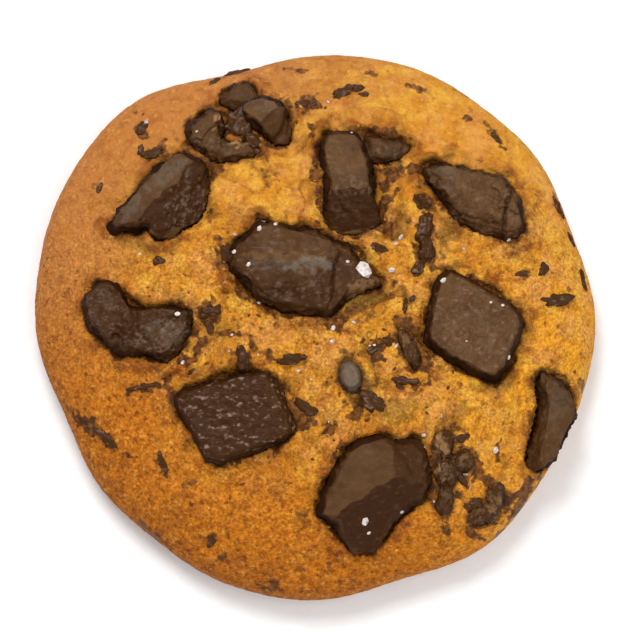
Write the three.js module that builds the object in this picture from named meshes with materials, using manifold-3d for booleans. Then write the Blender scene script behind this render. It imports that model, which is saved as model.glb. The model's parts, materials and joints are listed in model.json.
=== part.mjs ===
// A chocolate chunk cookie, lying on its flat base: a domed round of baked dough with dark chocolate
// chunks and melted pieces set into its top, smaller bits of chocolate in the crust, and flakes of salt.
// Millimetres, +Z up. The origin is under the middle of the cookie, on the surface that it lies on.
// Seen from above with +Y away from the viewer, +X is to the right.
import * as THREE from "three";
import { mergeVertices } from "three/addons/utils/BufferGeometryUtils.js";
import Module from "manifold-3d";

const wasm = await Module();
wasm.setup();

// The round of dough
const MEAN_RADIUS = 40;
const THICKNESS = 16; // at the middle of the dome
const WIDEST_AT = 5.6; // height of the widest line of the side
const BASE_SHARE = 0.935; // radius of the flat base as a share of the widest radius
const DOME_SQUARENESS = 2.4; // how far out the top stays level before it falls away
const DOME_ROUNDNESS = 0.6; // how round the shoulder is

// The outline's departure from a circle, as waves round the edge: [count, height, place of first crest]
const EDGE_WAVES = [
  [1, 0.82, 95],
  [2, 0.66, -57],
  [3, 0.64, 95],
  [4, 0.5, -114],
  [5, 0.17, -23],
  [6, 0.27, 67],
  [8, 0.37, -39],
  [12, 0.18, 64],
];

// Fineness of the solids
const TOP_RINGS = 22;
const SIDE_ROWS = 4;
const LARGE_CHUNK_SIDES = 20;
const SMALL_CHUNK_SIDES = 10;
const LARGE_CHUNK_REACH = 5.5; // a block that reaches farther than this from its middle has more sides
const OVAL_CORNERS = 6; // of the outline of a small long piece

const FIT_GAP = 0.3; // between a chunk and the pocket it is baked into
const CRUST_UNEVENNESS = 0.22;
const SLOPE_STEP = 1.5; // distance over which the crust's slope is measured

const radians = THREE.MathUtils.degToRad;

// Gentle unevenness without a repeat that shows, between about -1 and 1.
function unevenness(x, y, place = 0) {
  const coarse = Math.sin(0.83 * x + 0.31 * y + place) * Math.cos(0.27 * x - 0.91 * y + 2 * place);
  const fine = Math.sin(1.71 * x - 1.13 * y + 3 * place) * Math.cos(1.27 * x + 1.93 * y - place);
  return 0.65 * coarse + 0.35 * fine;
}

// Where the dough has puffed up (a positive rise) or sunk between the chunks
const SWELLS = [
  { at: [-3.5, 26.5], spread: 3.0, rise: 1.3 }, // the fold that curls round the top chunk
  { at: [0.5, 30.2], spread: 3.0, rise: 1.1 },
  { at: [6.4, 29.6], spread: 3.4, rise: 0.8 },
  { at: [-10.3, 18.4], spread: 4.6, rise: 1.3 }, // the mound between the upper left chunks and the middle
  { at: [-2.5, 18.3], spread: 3.0, rise: 0.9 },
  { at: [11.4, 16.4], spread: 2.4, rise: 1.0 }, // the ridge right of the top chunk
  { at: [-15.3, 7.4], spread: 4.6, rise: 0.9 },
  { at: [-12.4, -4.4], spread: 2.4, rise: 1.3 }, // the smooth lump above the lower left chunk
  { at: [1.5, -5.5], spread: 4.0, rise: 0.8 },
  { at: [0.5, -15.4], spread: 4.4, rise: 0.9 },
  { at: [13.3, 3.4], spread: 3.6, rise: 0.6 },
  { at: [23.7, -11.2], spread: 5.0, rise: 0.9 },
  { at: [15.9, -30.9], spread: 3.4, rise: 1.1 }, // the lobes below the melted pieces
  { at: [22.4, -31.8], spread: 2.6, rise: 0.8 },
  { at: [31.2, 8.9], spread: 4.0, rise: 0.9 },
  { at: [-32.7, 11.4], spread: 6.0, rise: 0.5 },
  { at: [-17.8, -24.6], spread: 7.0, rise: 0.6 },
  { at: [20.3, 27.9], spread: 6.0, rise: 0.7 },
  { at: [9.3, -3.0], spread: 2.4, rise: -0.6 }, // the stained hollow in the middle
  { at: [19.8, -29.4], spread: 1.3, rise: -1.2 }, // the crease between the two lobes
  { at: [18.7, 9.5], spread: 2.6, rise: -0.7 },
  { at: [-16.2, -2.0], spread: 2.2, rise: -0.7 },
];

// The chunks, each made of one block or of several that have run together. A block's outline is given by
// its corners where it leaves the dough, as [x, y]. Its top is the lowest of its facets: a facet passes at
// the height `rise` above the crust through the place `over`, or through the block's middle, and falls by
// so many degrees towards a direction: [direction from +X, fall].
const CHUNKS = {
  chunk_upper_left: [
    {
      corners: [[-24.2, 13.0], [-22.3, 11.0], [-16.0, 14.6], [-14.8, 21.2], [-17.2, 23.6], [-19.9, 24.7],
        [-26.4, 18.3], [-29.9, 12.5]],
      facets: [
        { over: [-20.3, 19.0], rise: 3.4, falls: [135, 13] },
        { over: [-20.3, 19.0], rise: 3.4, falls: [-45, 30] },
      ],
    },
  ],
  chunk_top_left: [
    {
      corners: [[-18.3, 25.8], [-16.8, 24.6], [-14.8, 22.8], [-13.0, 23.0], [-13.3, 30.4], [-14.6, 30.9],
        [-16.8, 29.6], [-18.6, 27.8]],
      facets: [{ rise: 2.4, falls: [150, 14] }, { rise: 2.4, falls: [-80, 12] }],
    },
    {
      corners: [[-14.2, 22.6], [-8.5, 23.5], [-7.9, 24.4], [-8.3, 25.4], [-14.2, 25.7]],
      facets: [{ rise: 1.4, falls: [-90, 12] }],
    },
  ],
  chunk_top_left_inner: [
    {
      corners: [[-9.4, 28.4], [-6.5, 25.4], [-4.0, 24.6], [-3.2, 26.1], [-3.3, 29.4], [-5.0, 32.1],
        [-7.9, 32.6], [-11.2, 31.4], [-11.1, 29.4]],
      facets: [
        { over: [-6.9, 29.0], rise: 3.0, falls: [100, 10] },
        { over: [-6.4, 28.9], rise: 3.1, falls: [-40, 34] },
      ],
    },
    {
      corners: [[-12.1, 31.0], [-8.1, 30.7], [-7.9, 33.2], [-9.1, 34.7], [-11.2, 35.1], [-14.1, 32.2]],
      facets: [{ rise: 1.3, falls: [100, 4] }],
    },
  ],
  chunk_top: [
    {
      corners: [[1.2, 19.1], [1.2, 14.3], [2.8, 12.4], [5.1, 12.0], [9.7, 13.8], [8.5, 17.3], [8.2, 22.3],
        [6.0, 26.9], [3.1, 27.2], [0.4, 25.9]],
      facets: [
        { over: [4.9, 18.2], rise: 3.6, falls: [90, 7] },
        { over: [4.9, 17.8], rise: 3.5, falls: [-85, 38] },
        { over: [3.1, 20.7], rise: 3.4, falls: [170, 22] },
      ],
    },
    {
      corners: [[7.3, 23.0], [9.1, 22.3], [10.6, 22.7], [13.6, 24.4], [13.2, 25.8], [10.6, 26.4], [8.8, 27.0],
        [7.0, 26.8]],
      facets: [{ rise: 1.4, falls: [60, 14] }],
    },
  ],
  chunk_upper_right: [
    {
      corners: [[18.5, 16.7], [20.5, 13.6], [27.1, 11.7], [29.9, 11.7], [29.4, 16.8], [27.5, 20.6],
        [21.4, 22.1], [17.7, 22.9], [14.9, 21.2]],
      facets: [
        { over: [22.7, 17.9], rise: 2.5, falls: [70, 5] },
        { over: [22.7, 15.9], rise: 2.6, falls: [-100, 20] },
      ],
      bumps: 0.3,
    },
  ],
  chunk_right: [
    {
      corners: [[15.3, -3.2], [23.2, -8.3], [26.4, -8.6], [29.8, 0.8], [18.2, 7.5]],
      facets: [{ over: [22.6, -1.1], rise: 3.0, falls: [60, 6] }],
    },
  ],
  chunk_middle: [
    {
      corners: [[-10.9, 5.7], [-8.1, 2.3], [-3.0, 0.6], [2.7, 0.4], [3.3, 7.0], [4.5, 10.4], [0.7, 12.4],
        [-4.6, 13.7], [-8.1, 14.2], [-12.9, 8.6]],
      facets: [
        { over: [-3.9, 8.6], rise: 4.0, falls: [80, 16] },
        { over: [-3.9, 8.6], rise: 4.0, falls: [-98, 15] },
        { over: [-8.8, 7.7], rise: 3.6, falls: [185, 20] },
      ],
    },
    {
      corners: [[0.7, 0.7], [2.7, 0.4], [4.6, 2.9], [10.1, 4.8], [8.4, 6.4], [4.7, 10.5], [0.7, 11.8]],
      facets: [{ rise: 2.0, falls: [-30, 10] }],
    },
  ],
  chunk_left: [
    {
      corners: [[-32.8, -0.7], [-29.7, -3.4], [-28.1, -5.0], [-24.2, -5.1], [-22.0, -6.2], [-19.6, -5.5],
        [-17.3, -1.1], [-17.7, 1.7], [-24.8, 2.0], [-26.9, 2.8], [-28.7, 5.5], [-32.8, 4.9]],
      facets: [
        { over: [-26.6, -1.0], rise: 2.6, falls: [150, 5] },
        { over: [-21.6, -2.1], rise: 2.8, falls: [-70, 16] },
      ],
      bumps: 0.3,
    },
  ],
  chunk_lower_left: [
    {
      corners: [[-18.0, -15.6], [-15.5, -20.4], [-12.7, -20.6], [-4.0, -17.3], [-2.5, -15.3], [-5.9, -7.4],
        [-11.3, -7.8], [-20.3, -10.7]],
      facets: [
        { over: [-10.8, -13.0], rise: 2.9, falls: [-80, 4] },
        { over: [-5.4, -13.0], rise: 2.7, falls: [15, 34] },
      ],
    },
  ],
  chunk_bottom: [
    {
      corners: [[2.5, -28.9], [4.4, -32.5], [6.9, -33.7], [9.2, -32.1], [11.9, -28.1], [16.5, -24.4],
        [15.4, -16.8], [12.7, -17.3], [9.7, -16.0], [4.8, -17.3], [1.9, -22.0], [0.0, -27.8]],
      facets: [
        { over: [6.9, -23.3], rise: 4.3, falls: [130, 9] },
        { over: [7.9, -24.3], rise: 4.3, falls: [-58, 31] },
        { over: [11.8, -20.8], rise: 3.8, falls: [20, 24] },
      ],
    },
  ],
  chunk_right_edge: [
    {
      corners: [[32.2, -11.7], [31.1, -17.1], [30.5, -21.4], [33.8, -20.1], [37.5, -13.6], [37.6, -10.8],
        [35.2, -8.3], [31.5, -7.0]],
      facets: [{ rise: 2.0, falls: [80, 3] }],
      lean: 0.8,
    },
  ],
  piece_middle: [{ ...oval([5.0, -8.3], -76, 5.8, 3.8), facets: [{ rise: 1.5, falls: [120, 8] }] }],
  sliver_middle_right: [{ ...oval([13.3, -4.0], -66, 7.8, 2.6), facets: [{ rise: 1.5, falls: [60, 12] }] }],
  sliver_upper_right: [{ ...oval([15.8, 10.0], 86, 5.2, 2.6), facets: [{ rise: 1.3, falls: [0, 10] }] }],
  melt_lower_right: [
    { ...oval([18.3, -17.5], 75, 4.8, 3.4), facets: [{ rise: 1.6, falls: [100, 14] }] },
    { ...oval([18.6, -21.5], 95, 5.8, 3.6), facets: [{ rise: 1.4, falls: [-60, 6] }] },
    { ...oval([18.3, -25.4], 82, 5.0, 3.0), facets: [{ rise: 1.3, falls: [-90, 10] }] },
    { ...oval([20.9, -19.9], 30, 4.6, 3.4), facets: [{ rise: 1.5, falls: [0, 12] }] },
  ],
  melt_edge_right: [
    { ...oval([25.8, -24.9], 110, 4.4, 2.8), facets: [{ rise: 1.2, falls: [0, 4] }], lean: 0.6 },
    { ...oval([24.2, -27.6], 8, 5.8, 3.2), facets: [{ rise: 1.1, falls: [-90, 4] }], lean: 0.6 },
  ],
};
const CHUNK_DEPTH = 0.6; // how deep a block goes, as a share of its mean radius
const DEEPEST = 3.6;
const USUAL_LEAN = 0.35; // how far a block leans with the crust's slope: 0 is upright, 1 all the way
const WALL_INSET = 0.75; // how far the wall leans in, up to where the edge begins to round over
const EDGE_INSET = 1.35;
const FULL_INSET_RADIUS = 3; // a narrower block leans in less, in proportion
const EDGE_DROP = 0.5; // how far the wall stops below the top
const LOWEST_WALL = 0.25;
const CORNER_TENSION = 0.25; // of the curve through the corners: 0 is straight between them, 0.5 is round
const MELT_UNEVENNESS = 0.14;

// Smaller bits of chocolate, baked into the crust: [x, y, length, width, turn]
const BITS = [
  [-10.3, 33.5, 5.2, 2.4, 6],
  [15.1, 16.8, 2.4, 1.9, -20],
  [15.5, 13.7, 3.2, 2.0, 70],
  [4.2, 32.7, 4.6, 2.3, 38],
  [7.9, -12.0, 3.8, 2.6, -35],
  [12.7, -8.9, 3.8, 1.3, -8],
  [-14.8, 0.5, 3.2, 2.6, 60],
  [-10.2, -5.9, 3.2, 2.2, 100],
  [-3.4, -5.9, 4.0, 1.6, 2],
  [34.6, 3.1, 4.4, 1.8, 8],
  [-24.9, 28.0, 2.2, 1.6, 30],
  [-22.9, 24.0, 3.6, 1.4, 8],
  [-29.7, -16.5, 4.2, 1.5, -38],
  [-21.6, -20.3, 3.0, 1.1, -72],
  [32.7, 7.3, 2.0, 1.4, 60],
  [14.7, 7.1, 1.6, 1.4, 0],
  [26.4, 23.4, 2.2, 1.1, -40],
];
const BIT_SIDES = 8;
const BIT_ROWS = 4;
const BIT_RISE = 0.42; // how high a bit stands, as a share of its width

// The largest flakes of salt, each on the crust or on the chunk it is named with: [x, y, width, turn]
const SALT = {
  dough: [
    [10.9, 6.9, 1.1, 20],
    [12.2, 11.7, 1.0, 50],
    [3.0, -3.2, 0.9, 10],
    [25.7, -18.5, 1.2, 70],
  ],
  chunk_middle: [
    [6.9, 6.8, 1.7, 60],
    [-8.2, 11.7, 1.1, 30],
  ],
  chunk_bottom: [[7.1, -28.8, 1.3, 65]],
  chunk_left: [[-19.5, 0.4, 0.9, 15]],
};
const SALT_SIDES = 5;
const SALT_TOP = 0.6; // width of a flake's top, as a share of its width
const SALT_HEIGHT = 0.55; // as a share of its width
const SALT_LIFT = 0.1; // how far its middle is above what it lies on, as a share of its width
const PROBE_WIDTH = 0.05;

// The widest radius in a direction, by the waves round the edge.
function edgeRadius(angle) {
  const wave = ([count, height, crest]) => height * Math.cos(count * angle - radians(crest));
  return EDGE_WAVES.reduce((radius, each) => radius + wave(each), MEAN_RADIUS);
}

// The dome's height at a share of the widest radius.
function domeHeight(share) {
  const fall = 1 - Math.min(1, share) ** DOME_SQUARENESS;
  return WIDEST_AT + (THICKNESS - WIDEST_AT) * fall ** DOME_ROUNDNESS;
}

// What the swells and the crust's unevenness add to the dome, fading out down the shoulder.
function relief(x, y, share) {
  const swells = SWELLS.reduce((sum, { at, spread, rise }) => {
    const distance = Math.hypot(x - at[0], y - at[1]);
    return sum + rise * Math.exp(-((distance / spread) ** 2));
  }, 0);
  const shoulderFade = 1 - THREE.MathUtils.smoothstep(share, 0.8, 1);
  return shoulderFade * (swells + CRUST_UNEVENNESS * unevenness(x, y));
}

function edgeShare(x, y) {
  return Math.hypot(x, y) / edgeRadius(Math.atan2(y, x));
}

function crustHeight(x, y) {
  const share = edgeShare(x, y);
  return domeHeight(share) + relief(x, y, share);
}

function crustNormal(x, y) {
  const dome = (stepX, stepY) => domeHeight(edgeShare(x + stepX * SLOPE_STEP, y + stepY * SLOPE_STEP));
  const [riseX, riseY] = [dome(1, 0) - dome(-1, 0), dome(0, 1) - dome(0, -1)];
  return new THREE.Vector3(-riseX, -riseY, 2 * SLOPE_STEP).normalize();
}

// A closed geometry from its points and faces.
function closedGeometry(points, faces) {
  const geometry = new THREE.BufferGeometry();
  geometry.setAttribute("position", new THREE.Float32BufferAttribute(points.flat(), 3));
  geometry.setIndex(faces.flat());
  return geometry;
}

// A closed geometry as a solid, its vertices merged by place alone.
function solidFrom(geometry) {
  const bare = geometry.clone().deleteAttribute("normal").deleteAttribute("uv");
  const merged = mergeVertices(bare, 1e-4);
  const vertProperties = new Float32Array(merged.attributes.position.array);
  const triVerts = new Uint32Array(merged.index.array);
  return new wasm.Manifold(new wasm.Mesh({ numProp: 3, vertProperties, triVerts }));
}

function geometryFrom(solid) {
  const { vertProperties, triVerts } = solid.getMesh();
  const geometry = new THREE.BufferGeometry();
  geometry.setAttribute("position", new THREE.BufferAttribute(vertProperties, 3));
  geometry.setIndex(new THREE.BufferAttribute(triVerts, 1));
  geometry.computeVertexNormals();
  return geometry;
}

// The shares of the widest radius at which the dome's rings lie, evenly spaced along its profile.
function ringShares() {
  const samples = 400;
  const profile = Array.from({ length: samples + 1 }, (_, i) => {
    const share = Math.sin((i / samples) * (Math.PI / 2));
    return new THREE.Vector2(share * MEAN_RADIUS, domeHeight(share));
  });
  const spaced = new THREE.SplineCurve(profile).getSpacedPoints(TOP_RINGS);
  return spaced.map((point) => point.x / MEAN_RADIUS);
}

// The round of dough without its pockets. Ring k of its top has 6k points, so that all faces are alike.
function doughRound() {
  const points = [[0, 0, crustHeight(0, 0)]];
  const faces = [];
  const shares = ringShares();
  const edgeCount = 6 * TOP_RINGS;
  const ringStart = (k) => (k === 0 ? 0 : 1 + 3 * k * (k - 1));
  const at = (k, i) => (k === 0 ? 0 : ringStart(k) + (i % (6 * k)));

  for (let k = 1; k <= TOP_RINGS; k++) {
    for (let i = 0; i < 6 * k; i++) {
      const angle = (i / (6 * k)) * 2 * Math.PI;
      const share = k === TOP_RINGS ? 1 : shares[k];
      const radius = edgeRadius(angle) * share;
      const [x, y] = [radius * Math.cos(angle), radius * Math.sin(angle)];
      points.push([x, y, domeHeight(share) + relief(x, y, share)]);
    }
    for (let sector = 0; sector < 6; sector++) {
      for (let i = 0; i < k; i++) {
        const outer = sector * k + i;
        const inner = sector * (k - 1) + i;
        faces.push([at(k, outer), at(k, outer + 1), at(k - 1, inner)]);
        if (i < k - 1) faces.push([at(k - 1, inner), at(k, outer + 1), at(k - 1, inner + 1)]);
      }
    }
  }

  // The side turns in below the widest line to the flat base.
  let above = ringStart(TOP_RINGS);
  for (let row = 1; row <= SIDE_ROWS; row++) {
    const turn = (row / SIDE_ROWS) * (Math.PI / 2);
    const share = BASE_SHARE + (1 - BASE_SHARE) * Math.cos(turn);
    const height = row === SIDE_ROWS ? 0 : WIDEST_AT * (1 - Math.sin(turn));
    const start = points.length;
    for (let i = 0; i < edgeCount; i++) {
      const angle = (i / edgeCount) * 2 * Math.PI;
      const radius = edgeRadius(angle) * share;
      points.push([radius * Math.cos(angle), radius * Math.sin(angle), height]);
      const next = (i + 1) % edgeCount;
      faces.push([start + i, start + next, above + next], [start + i, above + next, above + i]);
    }
    above = start;
  }
  const baseMiddle = points.length;
  points.push([0, 0, 0]);
  for (let i = 0; i < edgeCount; i++) faces.push([baseMiddle, above + ((i + 1) % edgeCount), above + i]);
  return solidFrom(closedGeometry(points, faces));
}

// The outline of a long or round piece, as corners: [x, y] of its middle, its turn, length and width.
function oval([x, y], turn, length, width) {
  const ellipse = new THREE.EllipseCurve(x, y, length / 2, width / 2, 0, 2 * Math.PI, false, radians(turn));
  const corners = ellipse.getPoints(OVAL_CORNERS).slice(1);
  return { corners: corners.map((corner) => [corner.x, corner.y]) };
}

// The middle of a block's corners.
function middleOf(corners) {
  const sum = corners.reduce(([sumX, sumY], [x, y]) => [sumX + x, sumY + y], [0, 0]);
  return sum.map((value) => value / corners.length);
}

// A melted block with its middle at the origin and z = 0 where it leaves the dough: rings from the middle
// of its top, over the rounded edge and down the sloping wall, to the middle of its underside.
function blockGeometry({ corners, facets, bumps = MELT_UNEVENNESS }, middle, sides) {
  const loop = corners.map(([x, y]) => new THREE.Vector3(x - middle[0], y - middle[1], 0));
  const curve = new THREE.CatmullRomCurve3(loop, true, "catmullrom", CORNER_TENSION);
  const outline = curve.getSpacedPoints(sides).slice(1);
  const meanRadius = outline.reduce((sum, point) => sum + point.length(), 0) / sides;
  const depth = Math.min(DEEPEST, CHUNK_DEPTH * meanRadius);

  const facetHeight = (x, y, { over = middle, rise, falls: [direction, fall] }) => {
    const away = new THREE.Vector2(x + middle[0] - over[0], y + middle[1] - over[1]);
    const downhill = new THREE.Vector2(Math.cos(radians(direction)), Math.sin(radians(direction)));
    return rise - Math.tan(radians(fall)) * away.dot(downhill);
  };
  const topHeight = (x, y) => {
    const lowest = Math.min(...facets.map((facet) => facetHeight(x, y, facet)));
    return lowest + bumps * unevenness(x + middle[0], y + middle[1], 1);
  };

  const points = [[0, 0, topHeight(0, 0)]];
  const faces = [];
  const rings = [
    { inset: EDGE_INSET, share: 0.55, drop: 0 },
    { inset: EDGE_INSET, share: 1, drop: 0 },
    { inset: WALL_INSET, share: 1, drop: EDGE_DROP },
    { inset: 0, share: 1, height: 0 },
    { inset: 0, share: 0.92, height: -0.7 * depth },
    { inset: 0, share: 0.55, height: -depth },
  ];
  for (const { inset, share, drop, height } of rings) {
    for (const point of outline) {
      const radius = point.length();
      const scale = share * (1 - inset / Math.max(radius, FULL_INSET_RADIUS));
      const [x, y] = [point.x * scale, point.y * scale];
      points.push([x, y, height ?? Math.max(LOWEST_WALL, topHeight(x, y) - drop)]);
    }
  }
  for (let ring = 0; ring < rings.length - 1; ring++) {
    for (let i = 0; i < sides; i++) {
      const [a, b] = [1 + ring * sides + i, 1 + ring * sides + ((i + 1) % sides)];
      faces.push([a, a + sides, b + sides], [a, b + sides, b]);
    }
  }
  const last = 1 + (rings.length - 1) * sides;
  const underside = points.length;
  points.push([0, 0, -depth]);
  for (let i = 0; i < sides; i++) {
    const next = (i + 1) % sides;
    faces.push([0, 1 + i, 1 + next], [underside, last + next, last + i]);
  }
  return closedGeometry(points, faces);
}

// Moves every vertex out along its normal.
function grown(geometry, distance) {
  const wider = geometry.clone();
  wider.computeVertexNormals();
  const { position, normal } = wider.attributes;
  for (let i = 0; i < position.count; i++) {
    position.setXYZ(
      i,
      position.getX(i) + distance * normal.getX(i),
      position.getY(i) + distance * normal.getY(i),
      position.getZ(i) + distance * normal.getZ(i),
    );
  }
  return wider;
}

// Turns a geometry about +Z and sets it on the crust, leaning with the crust's slope by the share given.
function setOnCrust(geometry, [x, y], turn, lean) {
  const upright = new THREE.Vector3(0, 0, 1);
  const leaning = upright.clone().lerp(crustNormal(x, y), lean).normalize();
  const placed = geometry.clone().rotateZ(radians(turn));
  placed.applyQuaternion(new THREE.Quaternion().setFromUnitVectors(upright, leaning));
  return placed.translate(x, y, crustHeight(x, y));
}

// A chunk's blocks joined into one solid, let out on every side by the distance given.
function chunkSolid(blocks, letOut = 0) {
  const solids = blocks.map((block) => {
    const middle = middleOf(block.corners);
    const reach = Math.max(...block.corners.map(([x, y]) => Math.hypot(x - middle[0], y - middle[1])));
    const sides = reach > LARGE_CHUNK_REACH ? LARGE_CHUNK_SIDES : SMALL_CHUNK_SIDES;
    const geometry = blockGeometry(block, middle, sides);
    const sized = letOut ? grown(geometry, letOut) : geometry;
    return solidFrom(setOnCrust(sized, middle, 0, block.lean ?? USUAL_LEAN));
  });
  return solids.reduce((sum, each) => sum.add(each));
}

// A bit of chocolate: a low rounded lump, half sunk in the crust.
function bitSolid([x, y, length, width, turn]) {
  const lump = new THREE.SphereGeometry(1, BIT_SIDES, BIT_ROWS).rotateX(Math.PI / 2);
  lump.scale(length / 2, width / 2, BIT_RISE * width);
  return solidFrom(setOnCrust(lump, [x, y], turn, 1));
}

// A flake of salt: a blunt crystal with its lower part sunk in what it lies on.
function saltSolid([x, y, width, turn], ground) {
  const [top, foot] = [(SALT_TOP * width) / 2, width / 2];
  const crystal = new THREE.CylinderGeometry(top, foot, SALT_HEIGHT * width, SALT_SIDES, 1);
  crystal.rotateX(Math.PI / 2).rotateZ(radians(turn)).translate(x, y, ground(x, y) + SALT_LIFT * width);
  return solidFrom(crystal);
}

// The height of a solid's top at a place, found with a thin upright probe.
function topOf(solid) {
  return (x, y) => {
    const probe = new THREE.BoxGeometry(PROBE_WIDTH, PROBE_WIDTH, 4 * THICKNESS).translate(x, y, 0);
    return solidFrom(probe).intersect(solid).boundingBox().max[2];
  };
}

const DOUGH = new THREE.MeshStandardMaterial({ color: 0xcf8a3c, roughness: 0.85, metalness: 0 });
const CHOCOLATE = new THREE.MeshStandardMaterial({ color: 0x3a241a, roughness: 0.45, metalness: 0 });

function namedMesh(name, solid, material) {
  const mesh = new THREE.Mesh(geometryFrom(solid), material);
  mesh.name = name;
  return mesh;
}

const cookie = new THREE.Group();
let dough = BITS.reduce((sum, bit) => sum.add(bitSolid(bit)), doughRound());
const pockets = [];
for (const [name, blocks] of Object.entries(CHUNKS)) {
  let chunk = chunkSolid(blocks);
  for (const pocket of pockets) chunk = chunk.subtract(pocket);
  const pocket = chunkSolid(blocks, FIT_GAP);
  dough = dough.subtract(pocket);
  pockets.push(pocket);
  for (const flake of SALT[name] ?? []) chunk = chunk.add(saltSolid(flake, topOf(chunk)));
  cookie.add(namedMesh(name, chunk, CHOCOLATE));
}
for (const flake of SALT.dough) dough = dough.add(saltSolid(flake, crustHeight));
cookie.add(namedMesh("dough", dough, DOUGH));

// The origin goes under the middle of the whole.
const middle = new THREE.Box3().setFromObject(cookie).getCenter(new THREE.Vector3());
cookie.position.set(-middle.x, -middle.y, 0);

export default cookie;
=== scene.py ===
"""The looks of a chocolate chunk cookie: crumbly baked dough with a browned rim, dark chocolate chunks that
have melted and set in it, smears and bits of chocolate, flakes of salt, and the light that it is seen in.

The solids of the frame give every form. The dough is sampled from its solid and given its lips, cracks,
crumb and pits; each chunk is its solid made fine, with crisp facets and a skin of bloom. Light and shade
are also painted into the colours of the dough and the chunks.
"""

import json
import math
from types import SimpleNamespace

import bmesh
import bpy
import numpy as np
from bpy.props import FloatProperty, FloatVectorProperty, IntProperty, PointerProperty
from mathutils import Matrix, Vector, noise
from mathutils.bvhtree import BVHTree

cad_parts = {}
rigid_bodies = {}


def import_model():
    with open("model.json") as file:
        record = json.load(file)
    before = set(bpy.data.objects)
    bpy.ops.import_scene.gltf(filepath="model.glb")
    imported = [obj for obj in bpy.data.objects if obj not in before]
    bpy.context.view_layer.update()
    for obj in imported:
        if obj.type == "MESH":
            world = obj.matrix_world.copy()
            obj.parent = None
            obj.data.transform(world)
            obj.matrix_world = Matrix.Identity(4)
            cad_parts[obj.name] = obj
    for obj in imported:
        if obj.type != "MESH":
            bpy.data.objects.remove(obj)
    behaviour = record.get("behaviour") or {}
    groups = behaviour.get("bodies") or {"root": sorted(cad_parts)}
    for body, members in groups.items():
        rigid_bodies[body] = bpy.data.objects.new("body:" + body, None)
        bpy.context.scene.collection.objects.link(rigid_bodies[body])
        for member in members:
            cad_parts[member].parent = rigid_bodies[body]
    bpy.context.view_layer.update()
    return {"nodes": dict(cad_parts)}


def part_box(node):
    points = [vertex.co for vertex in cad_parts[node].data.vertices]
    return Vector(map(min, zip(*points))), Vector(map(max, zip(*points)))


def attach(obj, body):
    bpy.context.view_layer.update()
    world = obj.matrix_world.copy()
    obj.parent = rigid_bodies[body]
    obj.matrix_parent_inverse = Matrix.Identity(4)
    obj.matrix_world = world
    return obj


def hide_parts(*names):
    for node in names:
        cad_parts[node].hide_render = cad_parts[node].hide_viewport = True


bl_info = {
    "name": "Chocolate Chunk Cookie",
    "version": (1, 0, 0),
    "blender": (4, 5, 0),
    "location": "3D View > Sidebar > Cookie",
    "description": "Bakes a chocolate chunk cookie round the solids of its frame",
    "category": "Add Mesh",
}

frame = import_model()

MM = 0.001
BODY = "root"
# The cookie's mean radius, the height where its side is widest, and a distance beyond everything on it
RADIUS = 40 * MM
WIDEST_AT = 5.6 * MM
FAR_OFF = 60 * MM
# Rows of points down the side, and how many of them at the foot stay where the solid has them
SIDE_ROWS = 16
STILL_ROWS = 5
CHUNKS = sorted(name for name in frame["nodes"] if name.startswith("chunk_"))
MELTS = sorted(name for name in frame["nodes"] if name.startswith(("melt_", "piece_", "sliver_")))

# The stage: the floor, the lamps as (place, size, power), the light of the room and the camera
FLOOR_HALF = 1.5
FLOOR_Z = -0.03 * MM
FLOOR_TONES = (0.93, 0.93, 0.93), (0.96, 0.96, 0.96)
LAMPS = {"key": ((-0.10, 0.24, 0.46), 0.24, 1.9), "fill": ((0.22, -0.14, 0.52), 0.5, 1.35)}
ROOM_TONE = (0.98, 0.99, 1.0, 1.0)
ROOM_STRENGTH = 0.50
LENS = 234
SENSOR_WIDTH = 36
ELEVATION = math.radians(84)
CAMERA_DISTANCE = 0.6
AIM = (0.7 * MM, 0.75 * MM, 6 * MM)
NEAREST_SEEN = 0.01

# Tones mixed into the dough: sunny and ruddy patches, baked mottling, the pale crumb, the rust of the amber
# rim as two factors, and thin chocolate
SUNNY = (0.73, 0.38, 0.045)
RUDDY = (0.66, 0.285, 0.072)
BAKED = (0.46, 0.155, 0.016)
PALE = (0.80, 0.42, 0.09)
RUST = (1.14, 1.17, 1.2), (0.70, 0.58, 0.48)
THIN_SMEAR = (0.20, 0.066, 0.012)
# Tones mixed into the chocolate, its specks, the crumbs and the salt, with painted shade for the chocolate's
# steep sides
STUCK_DOUGH = (0.30, 0.155, 0.060)
PAINTED_SIDE_SHADE = (0.012, 0.0035, 0.0015)
SPECKS = (0.11, 0.030, 0.007), (0.22, 0.070, 0.015)
CRUMBS = (0.58, 0.24, 0.025), (0.38, 0.12, 0.012)
SALT_SHADE = (0.55, 0.42, 0.37)
# The bloom and painted light of a chunk's sides, and of what has melted
LEAST_BLOOM_AND_LIGHT = 0.12
MELTED_BLOOM_AND_LIGHT = 0.30
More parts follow.
